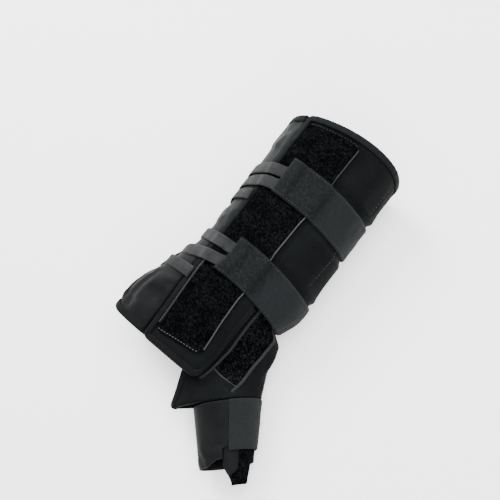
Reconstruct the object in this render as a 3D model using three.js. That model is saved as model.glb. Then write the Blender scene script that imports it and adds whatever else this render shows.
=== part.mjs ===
// A lace-up wrist and forearm splint with a thumb spica, for a right hand, closed to the shape that it is worn in.
// A padded sleeve is open along the little-finger side, where flat laces draw it shut over a tongue, and is notched at
// the thumb, where a padded gauntlet, a stay flap, a soft thumb sleeve and a thumb strap carry on round the thumb.
// Millimetres. X points to the thumb side, Y up the forearm and Z away from the palm. The splint rests on its palm
// side at Z 0, and the origin is the middle of the flat face that it rests on, between the two wrist straps.
import * as THREE from "three";

// Sleeve
const spanLength = 210.5; // along the back, from the knuckle edge to the forearm edge
const restRun = 122; // from the knuckle edge to the origin
const cuffWidth = 95; // outside, across the forearm end
const cuffHeight = 68; // outside, from palm side to back at the forearm end
const handShift = -20; // how far the hand end stands over to the little-finger side
const settle = 1.5; // how far the padding flattens where the splint rests
const shellWall = 4.5; // padded laminate
const palmSetback = 18; // the palm side stops this far short of the knuckle edge
const palmSetbackSpan = 56; // and comes back over this length
const cuffSetback = 22; // the forearm edge dips this far, away from its high point
const cuffSetbackSpan = 42;
const cuffPeakTurn = 35; // where the forearm edge is highest
const laceEdgeX = -31; // the laced edge on the back of the wrist
const lowerStrapRun = 85.5; // from the knuckle edge to the middle of each strap
const upperStrapRun = 155.5;

// Thumb notch in the sleeve
const notchRun = lowerStrapRun + 4.5; // its root, under the lower strap
const notchTipX = 19.5; // the notch's back edge at the knuckles
const notchRootX = 29.5; // and at the root
const notchPalmTurn = 134; // its palm edge

// Layers
const gap = 0.5; // between faces that touch
const bindingThick = 0.8;
const bindingRoom = 0.7; // between the binding and the wall that it is folded over
const bindingReach = 3.2; // how far the binding laps over each face
const tongueThick = 2;
const panelThick = 1.8;
const panelLift = 0.8; // of its underside, over the sleeve
const panelEdgeX = 17.5; // thumb-side edge of the pile panel at the forearm end
const panelTaper = 4.5; // how much nearer it lies at the knuckles
const panelKnuckleInset = 8; // at the laced side
const panelKnuckleSlant = 6; // how much more it is at the thumb side
const panelCuffInset = 5;

// Wrist straps and laces
const strapWidth = 30;
const strapThick = 1.6;
const strapEndTurn = 205; // on the palm side
const lowerStrapDrop = 8.2; // how far each strap slants towards the knuckles on its way round to the thumb side
const upperStrapDrop = 5.2;
const strapDropTurn = 90; // degrees from the back by which it has come down
const dentMargin = 1.2; // the straps sink into the padding by their thickness, a little wider than they are
const dentHalf = strapWidth / 2 + dentMargin;
const dentFade = 5;
const laceWidth = 9.2;
const laceThick = 1.2;
const laceUnderStrap = 9; // degrees of the lace that lie under the strap's end
const laceBend = 5.4; // radius of the lace's turn in its keeper
const laceTurn = 7; // degrees past the laced edge where the lace turns
const singleKeeperWidth = 12.6;
const pulleyKeeperWidth = 22;
const keeperThick = 1.2;
const laceRoom = 3; // between a lace and the keeper that it turns in
const keeperTurn = 38; // degrees that a keeper covers

// Thumb
const thumbX = 46.1; // where the thumb's line meets the gauntlet's end
const thumbRun = -1.3;
const thumbTurn = 40; // degrees between the thumb and the forearm
const thumbHalfWidth = 27; // over the strap
const thumbHalfHeight = 18.5;
const thumbSkew = 2.6; // how far the bands round the thumb lean down towards the first finger
const thumbTaper = 0.105; // loss of width and height for each millimetre along the thumb
const thumbStrapWidth = 36;
const thumbStrapStart = 75; // degrees round from the thumb's outer side to its back
const thumbStrapEnd = -150;
const thumbSleeveLength = 45;
const thumbSleeveWall = 1.6;
const thumbSleeveLap = 14; // degrees that the sleeve laps over each edge of the stay flap
const gauntletWall = 3.5;
const stayWall = 3.6;
const stayLength = 60; // past the gauntlet
const stayTuck = 8; // inside the gauntlet
const stayTurn = 30; // degrees from the thumb's outer side to the flap's middle
const stayHalfTurn = 48;
const stayTipHalfTurn = 20;
const stayTipSpan = 26;
const webTurn = 173; // the gauntlet's edges meet here, between thumb and first finger

// Cross-sections of the sleeve: place from the knuckle edge to the forearm edge, as a share of its length, width and
// height as shares of the cuff's, sideways shift as a share of the hand's, and how square the corners are.
const sections = [
  { at: 0, width: 1.05, height: 0.62, shift: 1.14, square: 2.7 },
  { at: 0.125, width: 1.05, height: 0.68, shift: 1.03, square: 2.7 },
  { at: 0.25, width: 1.05, height: 0.76, shift: 0.5, square: 2.6 },
  { at: 0.38, width: 1.06, height: 0.83, shift: -0.04, square: 2.4 },
  { at: 0.52, width: 1.02, height: 0.87, shift: -0.03, square: 2.3 },
  { at: 0.77, width: 1.025, height: 0.93, shift: 0.06, square: 2.3 },
  { at: 1, width: 1, height: 1, shift: 0.15, square: 2.3 },
];

// The palm-side laced edge, as degrees round the sleeve, at shares of its length.
const ulnarEdge = [
  { at: 0, turn: 284 },
  { at: 0.3, turn: 270 },
  { at: 0.5, turn: 258 },
  { at: 0.8, turn: 262 },
  { at: 1, turn: 270 },
];

// Cross-sections of the thumb gauntlet from its root to its thumb end: middle as shares of the thumb's crossing point
// and of the notch's run, half width and half height as shares of the thumb's, lie as a share of the thumb's angle,
// and how far round the hand's opening cuts in, as a share of the half width.
const gauntlet = [
  { at: 0, x: 0.02, run: 1.06, width: 1.5, height: 1.12, lift: 1.45, lie: 0, open: 0.62 },
  { at: 0.28, x: 0.12, run: 0.77, width: 1.56, height: 1.0, lift: 1.15, lie: 0.14, open: 0.45 },
  { at: 0.5, x: 0.31, run: 0.48, width: 1.43, height: 0.98, lift: 1.06, lie: 0.43, open: 0.09 },
  { at: 0.75, x: 0.54, run: 0.2, width: 1.3, height: 0.97, lift: 1.03, lie: 0.75, open: -0.24 },
  { at: 0.87, x: 0.69, run: 0.08, width: 1.28, height: 0.98, lift: 1.01, lie: 0.93, open: -0.45 },
  { at: 0.94, x: 0.78, run: 0.01, width: 1.275, height: 0.99, lift: 1, lie: 1.03, open: -0.63 },
  { at: 1, x: 0.861, run: -0.058, width: 1.27, height: 1, lift: 1, lie: 1.13, open: -1 },
];
const gauntletTuck = 12; // degrees that its edges lie under the sleeve's
const webPinch = 0.5; // how much flatter the gauntlet is between thumb and first finger

// Each strap's lace ends and turns: runs from the strap's middle line.
const laceTable = [
  { name: "upper", strap: upperStrapRun, endX: -16.5, single: [4.2, -7, -13.5], out: [-6.6, -18.5, -26], back: -25 },
  { name: "lower", strap: lowerStrapRun, endX: -12, single: [4.8, 2.5, 1.5], out: [-5.9, -14.5, -21.5], back: -28 },
];

const degrees = THREE.MathUtils.degToRad;
const mix = THREE.MathUtils.lerp;
const smooth = (value, from, to) => {
  const share = THREE.MathUtils.clamp((value - from) / (to - from), 0, 1);
  return share * share * (3 - 2 * share);
};
const evenly = (from, to, steps) => Array.from({ length: steps + 1 }, (_, k) => mix(from, to, k / steps));
const count = (from, to) => Array.from({ length: Math.abs(to - from) + 1 }, (_, k) => from + Math.sign(to - from) * k);

// A column of a table at any place between its rows, smoothly.
function column(table, name, at) {
  const last = table.length - 1;
  const place = THREE.MathUtils.clamp(at, table[0].at, table[last].at);
  const k = Math.max(0, Math.min(last - 1, table.findLastIndex((row) => row.at <= place)));
  const slope = (i) => {
    const before = table[Math.max(i - 1, 0)];
    const after = table[Math.min(i + 1, last)];
    return (after[name] - before[name]) / (after.at - before.at);
  };
  const span = table[k + 1].at - table[k].at;
  const t = (place - table[k].at) / span;
  const a = table[k][name];
  const b = table[k + 1][name];
  return (
    a * (1 + 2 * t) * (1 - t) ** 2 +
    slope(k) * span * t * (1 - t) ** 2 +
    b * t * t * (3 - 2 * t) -
    slope(k + 1) * span * t * t * (1 - t)
  );
}

// How far the straps' slant has brought a row of the sleeve towards the knuckles. Rows beside a strap follow it.
function strapDrop(row, turn) {
  const clear = dentHalf + dentFade;
  const between = smooth(row, lowerStrapRun + clear, upperStrapRun - clear);
  const lower = lowerStrapDrop * smooth(row, 0, lowerStrapRun - clear) * (1 - between);
  const upper = upperStrapDrop * between * (1 - smooth(row, upperStrapRun + clear, spanLength));
  return (lower + upper) * smooth(turn, 0, strapDropTurn) * (1 - smooth(turn, strapEndTurn, strapEndTurn + 50));
}

// How far the padding is pressed in under the straps.
function dent(run, turn) {
  const inside = (row) => 1 - smooth(Math.abs(run - row + strapDrop(row, turn)), dentHalf, dentHalf + dentFade);
  const covered = smooth(turn, -29, -20) * (1 - smooth(turn, strapEndTurn + 5, strapEndTurn + 25));
  return (strapThick + gap) * Math.max(inside(lowerStrapRun), inside(upperStrapRun)) * covered;
}

function sectionAt(run) {
  const at = run / spanLength;
  return {
    half: (cuffWidth / 2) * column(sections, "width", at),
    rise: (cuffHeight / 2) * column(sections, "height", at),
    shift: handShift * column(sections, "shift", at),
    square: column(sections, "square", at),
  };
}

// The palm side lifts a little at both ends, so that the bound edges clear the surface that it rests on.
function floorUnder(run) {
  const knuckleEnd = 1 - smooth(run, palmSetback + 2, palmSetback + 12);
  const cuffEnd = smooth(run, spanLength - cuffSetback - 10, spanLength - cuffSetback);
  return (bindingRoom + bindingThick + 0.1) * (knuckleEnd + cuffEnd);
}

// A point on or off the sleeve's outer face: run up from the knuckle edge, turn in degrees from the back of the wrist
// towards the thumb, and lift outwards. The palm side is flattened on the plane that it rests on.
function onSleeve(run, turn, lift) {
  const { half, rise, shift, square } = sectionAt(run);
  const side = Math.sin(degrees(turn));
  const up = Math.cos(degrees(turn));
  const reach = (Math.abs(side) ** square + Math.abs(up) ** square) ** (-1 / square);
  const outX = (Math.sign(side) * Math.abs(side * reach) ** (square - 1)) / half;
  const outZ = (Math.sign(up) * Math.abs(up * reach) ** (square - 1)) / rise;
  const sunk = lift - dent(run, turn);
  const out = sunk / Math.hypot(outX, outZ);
  return new THREE.Vector3(
    shift + half * side * reach + outX * out,
    run - restRun,
    Math.max(rise - settle + rise * up * reach + outZ * out, floorUnder(run) - sunk),
  );
}

// The turn at which the back of the sleeve stands at a given X.
function turnAtX(run, x) {
  const { half, shift, square } = sectionAt(run);
  const share = Math.min(Math.abs(x - shift) / half, 0.999) ** square;
  return Math.sign(x - shift) * THREE.MathUtils.radToDeg(Math.atan((share / (1 - share)) ** (1 / square)));
}

const laceEdge = (run) => turnAtX(run, laceEdgeX);
const notchEdge = (run) => turnAtX(run, mix(notchTipX, notchRootX, Math.min(run / notchRun, 1)));
const ulnar = (run) => column(ulnarEdge, "turn", run / spanLength);
const panelEdge = (run) => turnAtX(run, panelEdgeX - panelTaper * (1 - run / spanLength));

// The run of a row of the sleeve's grid, which slants with the straps, and where the ends are cut on a curve.
function curvedRun(row, turn) {
  const palm = palmSetback * ((1 - Math.cos(degrees(turn))) / 2) ** 2;
  const cuff = (cuffSetback * (1 - Math.cos(degrees(turn - cuffPeakTurn)))) / 2;
  return (
    row +
    palm * (1 - smooth(row, 0, palmSetbackSpan)) -
    cuff * smooth(row, spanLength - cuffSetbackSpan, spanLength) -
    strapDrop(row, turn)
  );
}

// Turns a closed mesh right side out.
function closedSolid(points, faces) {
  let volume = 0;
  for (let k = 0; k < faces.length; k += 3) {
    const [a, b, c] = faces.slice(k, k + 3).map((n) => points[n]);
    volume += a.dot(b.clone().cross(c));
  }
  const indices = volume < 0 ? faces.slice().reverse() : faces;
  const geometry = new THREE.BufferGeometry().setFromPoints(points);
  geometry.setIndex(indices);
  geometry.computeVertexNormals();
  return geometry;
}

// A soft wall as one closed solid. place(i, j, outer) gives a corner of its outer or inner face, and cells for which
// open(i, j) is true are cut away.
function wall(rows, columns, place, open = () => false) {
  const points = [];
  for (let i = 0; i <= rows; i++) {
    for (let j = 0; j <= columns; j++) points.push(place(i, j, false), place(i, j, true));
  }
  const corner = (i, j, outer) => 2 * (i * (columns + 1) + j) + outer;
  const filled = (i, j) => i >= 0 && j >= 0 && i < rows && j < columns && !open(i, j);
  const faces = [];
  const quad = (a, b, c, d) => faces.push(a, b, c, a, c, d);
  const side = (i, j, k, l) => quad(corner(i, j, 1), corner(i, j, 0), corner(k, l, 0), corner(k, l, 1));
  for (let i = 0; i < rows; i++) {
    for (let j = 0; j < columns; j++) {
      if (!filled(i, j)) continue;
      quad(corner(i, j, 1), corner(i, j + 1, 1), corner(i + 1, j + 1, 1), corner(i + 1, j, 1));
      quad(corner(i, j, 0), corner(i + 1, j, 0), corner(i + 1, j + 1, 0), corner(i, j + 1, 0));
      if (!filled(i - 1, j)) side(i, j, i, j + 1);
      if (!filled(i, j + 1)) side(i, j + 1, i + 1, j + 1);
      if (!filled(i + 1, j)) side(i + 1, j + 1, i + 1, j);
      if (!filled(i, j - 1)) side(i + 1, j, i, j);
    }
  }
  const used = [...new Set(faces)];
  const renumbered = new Map(used.map((n, k) => [n, k]));
  return closedSolid(used.map((n) => points[n]), faces.map((n) => renumbered.get(n)));
}

// A profile of [outwards, upwards] pairs, anticlockwise, carried along stations of { point, up }, closed at both ends.
function trim(stations, profile) {
  const points = [];
  stations.forEach(({ point, up }, k) => {
    const before = stations[Math.max(k - 1, 0)].point;
    const after = stations[Math.min(k + 1, stations.length - 1)].point;
    const into = point.clone().sub(before).normalize();
    const away = after.clone().sub(point).normalize();
    const onward = into.clone().add(away).normalize();
    const inner = k > 0 && k < stations.length - 1;
    const mitre = inner ? Math.min(1 / Math.max(onward.dot(into), 0.5), 1.42) : 1;
    const out = up.clone().cross(onward).normalize().multiplyScalar(mitre);
    profile.forEach(([o, u]) => points.push(point.clone().addScaledVector(out, o).addScaledVector(up, u)));
  });
  const n = profile.length;
  const faces = [];
  for (let k = 0; k < stations.length - 1; k++) {
    for (let i = 0; i < n; i++) {
      const a = k * n + i;
      const b = k * n + ((i + 1) % n);
      faces.push(a, b, b + n, a, b + n, a + n);
    }
  }
  const flat = profile.map(([o, u]) => new THREE.Vector2(o, u));
  const start = (stations.length - 1) * n;
  THREE.ShapeUtils.triangulateShape(flat, []).forEach(([a, b, c]) => {
    faces.push(c, b, a, start + a, start + b, start + c);
  });
  return closedSolid(points, faces);
}

// A binding tape folded over the edge of a wall.
function foldedTape(wallThick) {
  const near = bindingRoom;
  const far = bindingRoom + bindingThick;
  return [
    [near, near],
    [near, -wallThick - near],
    [-bindingReach, -wallThick - near],
    [-bindingReach, -wallThick - far],
    [far, -wallThick - far],
    [far, far],
    [-bindingReach, far],
    [-bindingReach, near],
  ];
}

const part = new THREE.Group();
const fabrics = {
  shell: { color: 0x1b1d1e, roughness: 0.85 },
  binding: { color: 0x2a2c2d, roughness: 0.7 },
  pile: { color: 0x0c0d0e, roughness: 1 },
  lining: { color: 0x3a3c3d, roughness: 0.75 },
  webbing: { color: 0x303335, roughness: 0.8 },
  lace: { color: 0x4b4b4e, roughness: 0.8 },
};

function add(name, fabric, geometry) {
  const mesh = new THREE.Mesh(geometry, new THREE.MeshStandardMaterial({ ...fabrics[fabric], metalness: 0 }));
  mesh.name = name;
  part.add(mesh);
}

// The padded sleeve. Its rows lie at the straps' edges, and its columns follow the edges of the notch.
const strapRows = (middle) => [
  middle - dentHalf - dentFade,
  middle - dentHalf,
  middle,
  middle + dentHalf,
  middle + dentHalf + dentFade,
];
const lowerRows = strapRows(lowerStrapRun).toSpliced(3, 0, notchRun);
const shellRows = [
  ...evenly(0, lowerRows[0], 8).slice(0, -1),
  ...lowerRows,
  ...evenly(lowerRows.at(-1), upperStrapRun - dentHalf - dentFade, 3).slice(1, -1),
  ...strapRows(upperStrapRun),
  ...evenly(upperStrapRun + dentHalf + dentFade, spanLength, 5).slice(1),
];
const notchRow = shellRows.indexOf(notchRun);
const backColumns = 9;
const notchColumns = 10;
const palmColumns = 12;
const shellColumns = backColumns + notchColumns + palmColumns;

function shellCorner(i, j) {
  const row = shellRows[i];
  const edges = [laceEdge(row), notchEdge(row), notchPalmTurn, ulnar(row)];
  const turn =
    j <= backColumns
      ? mix(edges[0], edges[1], j / backColumns)
      : j <= backColumns + notchColumns
        ? mix(edges[1], edges[2], (j - backColumns) / notchColumns)
        : mix(edges[2], edges[3], (j - backColumns - notchColumns) / palmColumns);
  return { run: curvedRun(row, turn), turn };
}

const shellPoint = (i, j, lift) => {
  const { run, turn } = shellCorner(i, j);
  return onSleeve(run, turn, lift);
};
const inNotch = (i, j) => i < notchRow && j >= backColumns && j < backColumns + notchColumns;
add(
  "sleeve_shell",
  "shell",
  wall(shellRows.length - 1, shellColumns, (i, j, outer) => shellPoint(i, j, outer ? 0 : -shellWall), inNotch),
);

// The sleeve's binding goes round its whole edge but the root of the notch, which is under the strap.
const lastRow = shellRows.length - 1;
const boundRow = shellRows.findLastIndex((row) => row < lowerStrapRun - dentHalf - 1);
const boundEdge = [
  ...count(boundRow, 0).map((i) => [i, backColumns]),
  ...count(backColumns - 1, 0).map((j) => [0, j]),
  ...count(1, lastRow).map((i) => [i, 0]),
  ...count(1, shellColumns).map((j) => [lastRow, j]),
  ...count(lastRow - 1, 0).map((i) => [i, shellColumns]),
  ...count(shellColumns - 1, backColumns + notchColumns).map((j) => [0, j]),
  ...count(1, boundRow).map((i) => [i, backColumns + notchColumns]),
];
add(
  "sleeve_binding",
  "binding",
  trim(
    boundEdge.map(([i, j]) => ({
      point: shellPoint(i, j, 0),
      up: shellPoint(i, j, 1).sub(shellPoint(i, j, 0)).normalize(),
    })),
    foldedTape(shellWall),
  ),
);

// The tongue lies under both laced edges and swells up in the opening between them.
const tongueTuck = 11; // degrees that lie under each edge
const tongueDeep = -shellWall - bindingRoom - bindingThick - 2.6 * gap;
const tongueSwell = 0.6;
const tongueMargins = [0, 7, 16.5, 19, 21.5, 31];
add(
  "tongue",
  "lining",
  wall(shellRows.length - 1, 2 * tongueMargins.length, (i, j, outer) => {
    const row = mix(-1, spanLength + 2.5, shellRows[i] / spanLength);
    const from = ulnar(row) - 360 - tongueTuck;
    const to = laceEdge(row) + tongueTuck;
    const half = tongueMargins.length;
    const near = j < half ? tongueMargins[j] : tongueMargins[2 * half - j];
    const turn = j === half ? (from + to) / 2 : j < half ? from + near : to - near;
    const swell = smooth(near ?? 90, tongueTuck + 5.5, tongueTuck + 10.5);
    const lift = mix(tongueDeep, tongueSwell, swell);
    return onSleeve(curvedRun(row, turn), turn, outer ? lift : lift - tongueThick);
  }),
);

// The pile panel on the back. It shares the sleeve's rows, so that it follows the dents under the straps.
const panelColumns = 7;
const panelTop = panelLift + panelThick;
const panelRows = [
  panelKnuckleInset,
  ...shellRows.filter((row) => row > panelKnuckleInset + 2 && row < spanLength - panelCuffInset - 2),
  spanLength - panelCuffInset,
];
add(
  "back_pile_panel",
  "pile",
  wall(panelRows.length - 1, panelColumns, (i, j, outer) => {
    const slant = panelKnuckleSlant * (j / panelColumns) * (1 - smooth(panelRows[i], panelKnuckleInset, 40));
    const row = panelRows[i] + slant;
    const start = turnAtX(row, laceEdgeX + bindingReach + 2 * gap);
    const turn = mix(start, panelEdge(row), j / panelColumns);
    return onSleeve(curvedRun(row, turn), turn, outer ? panelTop : panelLift);
  }),
);

// Wrist straps: each starts over its lace ends on the pile panel and goes round the thumb side to the palm side.
const laceLift = panelTop + 2.2 * gap;
const laceLowLift = bindingRoom + bindingThick + 2.2 * gap; // past the panel, on the laced edges' bindings
const laceTurnLift = laceLowLift + laceRoom / 3;
const strapLift = (run, turn, start) => {
  const overLaces = 1 - smooth(turn, start + laceUnderStrap + 1, start + laceUnderStrap + 6);
  const offPanel = smooth(turn, panelEdge(run) + 1.5, panelEdge(run) + 11);
  return mix(laceLift, gap, offPanel) + (laceThick + 2 * gap) * overLaces;
};
function strap({ strap: middle, endX }) {
  const start = turnAtX(middle, endX);
  const step = panelEdge(middle);
  const stops = [
    ...[0, laceUnderStrap + 1, laceUnderStrap + 6].map((more) => start + more),
    ...evenly(start + laceUnderStrap + 6, step + 1.5, 4).slice(1),
    ...evenly(step + 1.5, step + 11, 3).slice(1),
    ...evenly(step + 11, strapEndTurn, 20).slice(1),
  ];
  const rows = 3;
  return wall(rows, stops.length - 1, (i, j, outer) => {
    const run = middle - strapDrop(middle, stops[j]) + strapWidth * (i / rows - 0.5);
    return onSleeve(run, stops[j], strapLift(run, stops[j], start) + (outer ? strapThick : 0));
  });
}

// A flat lace along points of [run, turn, lift], each lying on the sleeve.
function lace(route) {
  const at = route.map(([run, turn, lift]) => onSleeve(run, turn, lift));
  const up = route.map(([run, turn, lift]) => onSleeve(run, turn, lift + 1).sub(onSleeve(run, turn, lift)));
  return wall(route.length - 1, 1, (k, j, outer) => {
    const onward = at[Math.min(k + 1, at.length - 1)].clone().sub(at[Math.max(k - 1, 0)]);
    const across = onward.cross(up[k]).normalize();
    return at[k]
      .clone()
      .addScaledVector(across, (j - 0.5) * laceWidth)
      .addScaledVector(up[k].clone().normalize(), outer ? laceThick : 0);
  });
}

// A keeper is a folded tab sewn to the palm-side edge, over the end or turn of a lace.
function keeper(run, width) {
  const rows = 4;
  const columns = 9;
  const start = ulnar(run) - 360;
  return wall(rows, columns, (i, j, outer) => {
    const down = smooth(j / columns, 0.68, 1);
    const lift = mix(laceLowLift + laceThick + laceRoom, gap, down) + (outer ? keeperThick : 0);
    return onSleeve(run + width * (i / rows - 0.5), start - 1 - (keeperTurn * j) / columns, lift);
  });
}

// Each strap has one lace that ends in its keeper, and one that turns in its keeper and comes home to the laced edge.
const laceSteps = 12;
const laceOver = (run, turn) => {
  const panelStart = turnAtX(run, laceEdgeX + bindingReach + 2 * gap);
  return mix(laceLowLift, laceLift, smooth(turn, panelStart - 9, panelStart - 1));
};
laceTable.forEach((row) => {
  const start = turnAtX(row.strap, row.endX) + laceUnderStrap - 1;
  const tipAt = (run) => ulnar(run) - 360 - laceTurn;
  const outward = (runs) =>
    evenly(0, 1, laceSteps).map((far) => [
      row.strap + mix(mix(runs[0], runs[1], far), mix(runs[1], runs[2], far), far),
      mix(start, tipAt(row.strap + runs[2]), far),
      laceOver(row.strap + mix(runs[0], runs[2], far), mix(start, tipAt(row.strap + runs[2]), far)) +
        (laceRoom / 3) * smooth(far, 0.6, 0.9),
    ]);
  const tip = tipAt(row.strap + row.out[2]);
  const bendRun = row.strap + row.out[2] - laceBend;
  const perDegree = onSleeve(bendRun, tip, 0).distanceTo(onSleeve(bendRun, tip - 1, 0));
  const bend = evenly(20, 160, 5).map((angle) => [
    bendRun + laceBend * Math.cos(degrees(angle)),
    tip - (laceBend * Math.sin(degrees(angle))) / perDegree,
    laceTurnLift,
  ]);
  const home = laceEdge(row.strap + row.back) + 2;
  const back = evenly(0, 1, laceSteps).map((far) => {
    const lift = mix(laceTurnLift, laceLowLift, smooth(far, 0.1, 0.4));
    return [mix(bendRun - laceBend, row.strap + row.back, far), mix(tip, home, far), lift];
  });
  add(`${row.name}_strap`, "webbing", strap(row));
  add(`${row.name}_lace_single`, "lace", lace(outward(row.single)));
  add(`${row.name}_lace_pulley`, "lace", lace([...outward(row.out), ...bend, ...back]));
  add(`${row.name}_keeper_single`, "shell", keeper(row.strap + row.single[2], singleKeeperWidth));
  add(`${row.name}_keeper_pulley`, "shell", keeper(bendRun, pulleyKeeperWidth));
});

// The thumb's own frame: far runs out along the thumb from the gauntlet's end, around turns from the thumb's outer
// side to its back, and lift goes outwards from the outer face of the thumb strap.
const thumbOut = new THREE.Vector3(Math.sin(degrees(thumbTurn)), -Math.cos(degrees(thumbTurn)), 0);
const thumbSide = new THREE.Vector3(Math.cos(degrees(thumbTurn)), Math.sin(degrees(thumbTurn)), 0);
const thumbRoot = new THREE.Vector3(thumbX, thumbRun - restRun, 0);
function onThumb(far, around, lift) {
  const shrink = thumbTaper * Math.max(far, 0);
  const rise = thumbHalfHeight - shrink * 0.7;
  return thumbRoot
    .clone()
    .addScaledVector(thumbOut, far - thumbSkew * Math.cos(degrees(around)))
    .addScaledVector(thumbSide, (thumbHalfWidth - shrink + lift) * Math.cos(degrees(around)))
    .setZ(Math.max(rise + (rise + lift) * Math.sin(degrees(around)), -lift));
}

// A point of the gauntlet: at runs from its root to its thumb end, across from 1 on the back to -1 in the palm. Its
// root and its edges lie under the sleeve, and the rest follows the table.
function onGauntlet(at, across, lift) {
  const value = (name) => column(gauntlet, name, at);
  const lie = degrees(thumbTurn * value("lie"));
  const half = thumbHalfWidth * value("width");
  const rise = thumbHalfHeight * value("height");
  const limit = Math.min(THREE.MathUtils.radToDeg(Math.acos(Math.max(value("open"), -1))), webTurn);
  const around = degrees(across * limit);
  const pinch = 1 - webPinch * smooth(at, 0.5, 1) * ((1 - Math.cos(around)) / 2) ** 1.5;
  const out = new THREE.Vector2(Math.cos(around) / half, Math.sin(around) / (rise * pinch)).normalize();
  const run = notchRun * value("run");
  const free = new THREE.Vector3(thumbX * value("x"), run - restRun, 0)
    .addScaledVector(new THREE.Vector3(Math.cos(lie), Math.sin(lie), 0), half * Math.cos(around) + out.x * lift)
    .setZ(Math.max(thumbHalfHeight * value("lift") + rise * pinch * Math.sin(around) + out.y * lift, -lift));
  const turn = mix(notchEdge(run) - gauntletTuck, notchPalmTurn + gauntletTuck, (1 - across) / 2);
  const tucked = onSleeve(run, turn, lift + tongueDeep);
  const edge = smooth(Math.abs(across), 0.3, 0.75) * (1 - smooth(at, 0.955, 1));
  return tucked.lerp(free, smooth(at, 0.24, 0.5) * (1 - edge));
}

const gauntletStops = [0, 0.09, 0.18, 0.28, 0.38, 0.48, 0.57, 0.66, 0.75, 0.82, 0.88, 0.93, 0.965, 1];
const gauntletColumns = 20;
add(
  "thumb_gauntlet",
  "shell",
  wall(gauntletStops.length - 1, gauntletColumns, (i, j, outer) =>
    onGauntlet(gauntletStops[i], 1 - (2 * j) / gauntletColumns, outer ? 0 : -gauntletWall),
  ),
);

// The stay flap comes out of the gauntlet, under the thumb's sleeve and strap, and ends past them.
add(
  "thumb_stay_flap",
  "pile",
  wall(14, 8, (i, j, outer) => {
    const far = mix(-stayTuck, stayLength, i / 14);
    const half = mix(stayHalfTurn, stayTipHalfTurn, smooth(far, stayLength - stayTipSpan, stayLength));
    const deeper = 4.2 * (1 - smooth(far, 2, 16));
    const lift = -strapThick - thumbSleeveWall - 2 * gap - deeper - (outer ? 0 : stayWall);
    return onThumb(far, stayTurn + half * (1 - j / 4), lift);
  }),
);

const thumbStart = -0.6;
add(
  "thumb_sleeve",
  "lining",
  wall(6, 20, (i, j, outer) => {
    const from = stayTurn + stayHalfTurn - thumbSleeveLap;
    const to = stayTurn - stayHalfTurn + thumbSleeveLap + 360;
    const far = mix(thumbStart, thumbSleeveLength, i / 6);
    return onThumb(far, mix(from, to, j / 20), -strapThick - gap - (outer ? 0 : thumbSleeveWall));
  }),
);

add(
  "thumb_strap",
  "webbing",
  wall(2, 24, (i, j, outer) => {
    const around = mix(thumbStrapStart, thumbStrapEnd, j / 24);
    return onThumb(thumbStart + (thumbStrapWidth * i) / 2, around, outer ? 0 : -strapThick);
  }),
);

export default part;
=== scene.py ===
import bpy
import numpy as np
from mathutils import Matrix, Vector


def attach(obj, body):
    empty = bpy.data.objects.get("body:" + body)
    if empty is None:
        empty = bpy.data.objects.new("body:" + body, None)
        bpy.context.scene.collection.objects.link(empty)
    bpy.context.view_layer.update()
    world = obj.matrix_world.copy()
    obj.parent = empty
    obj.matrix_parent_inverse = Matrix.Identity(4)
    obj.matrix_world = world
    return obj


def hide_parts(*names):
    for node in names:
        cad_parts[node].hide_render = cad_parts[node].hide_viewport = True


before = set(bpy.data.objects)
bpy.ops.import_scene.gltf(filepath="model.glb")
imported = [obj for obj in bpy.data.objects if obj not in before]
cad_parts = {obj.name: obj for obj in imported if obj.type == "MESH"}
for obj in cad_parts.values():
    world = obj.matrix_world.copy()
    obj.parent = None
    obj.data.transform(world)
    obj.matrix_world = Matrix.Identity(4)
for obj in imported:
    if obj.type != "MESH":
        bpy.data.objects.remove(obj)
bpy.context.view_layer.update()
print("frame loaded:", len(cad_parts), "nodes")


def smooth(value, low, high):
    # eased step from 0 at low to 1 at high: 3 s^2 - 2 s^3 of the share s between them
    share = np.clip((value - low) / (high - low), 0, 1)
    return share * share * (3 - 2 * share)


def mix(a, b, share):
    # straight line from a to b
    return a + (b - a) * share


def unit(vectors):
    # each vector over its own length
    return vectors / np.maximum(np.linalg.norm(vectors, axis=-1, keepdims=True), 1e-9)


def column(table, name, at):
    # cubic through the table's points, each with the slope between its two neighbours
    place, value = np.array(table["at"], float), np.array(table[name], float)
    last = len(place) - 1
    before = np.maximum(np.arange(last + 1) - 1, 0)
    after = np.minimum(np.arange(last + 1) + 1, last)
    slope = (value[after] - value[before]) / (place[after] - place[before])
    at = np.clip(at, place[0], place[-1])
    k = np.clip(np.searchsorted(place, at, "right") - 1, 0, last - 1)
    span = place[k + 1] - place[k]
    t = (at - place[k]) / span
    return (
        value[k] * (1 + 2 * t) * (1 - t) ** 2
        + slope[k] * span * t * (1 - t) ** 2
        + value[k + 1] * t * t * (3 - 2 * t)
        - slope[k + 1] * span * t * t * (1 - t)
    )


def crumple(u, v, size, seed, waves=11):
    # sum of sine waves in seeded directions, each about size long, of height one on average
    chance = np.random.default_rng(seed)
    angle = chance.uniform(0, 2 * np.pi, waves)
    pitch = 2 * np.pi / (size * chance.uniform(0.65, 1.5, waves))
    phase = chance.uniform(0, 2 * np.pi, waves)
    along = np.asarray(u, float)[..., None] * np.cos(angle) + np.asarray(v, float)[..., None] * np.sin(angle)
    return np.sin(along * pitch + phase).sum(-1) * np.sqrt(2 / waves)


def evenPath(points, spacing):
    # the same path with its points at equal distances, found by its summed length
    step = np.linalg.norm(np.diff(points, axis=0), axis=1)
    length = np.r_[0, np.cumsum(step)]
    places = np.linspace(0, length[-1], max(int(round(length[-1] / spacing)), 2) + 1)
    return np.stack([np.interp(places, length, points[:, k]) for k in range(points.shape[1])], -1)


def tables(rows, columns, down=(0, 1), over=(0, 1)):
    # two tables of rows by columns: one runs evenly down the rows, the other evenly over the columns
    return np.meshgrid(np.linspace(*down, rows), np.linspace(*over, columns), indexing="ij")


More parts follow.
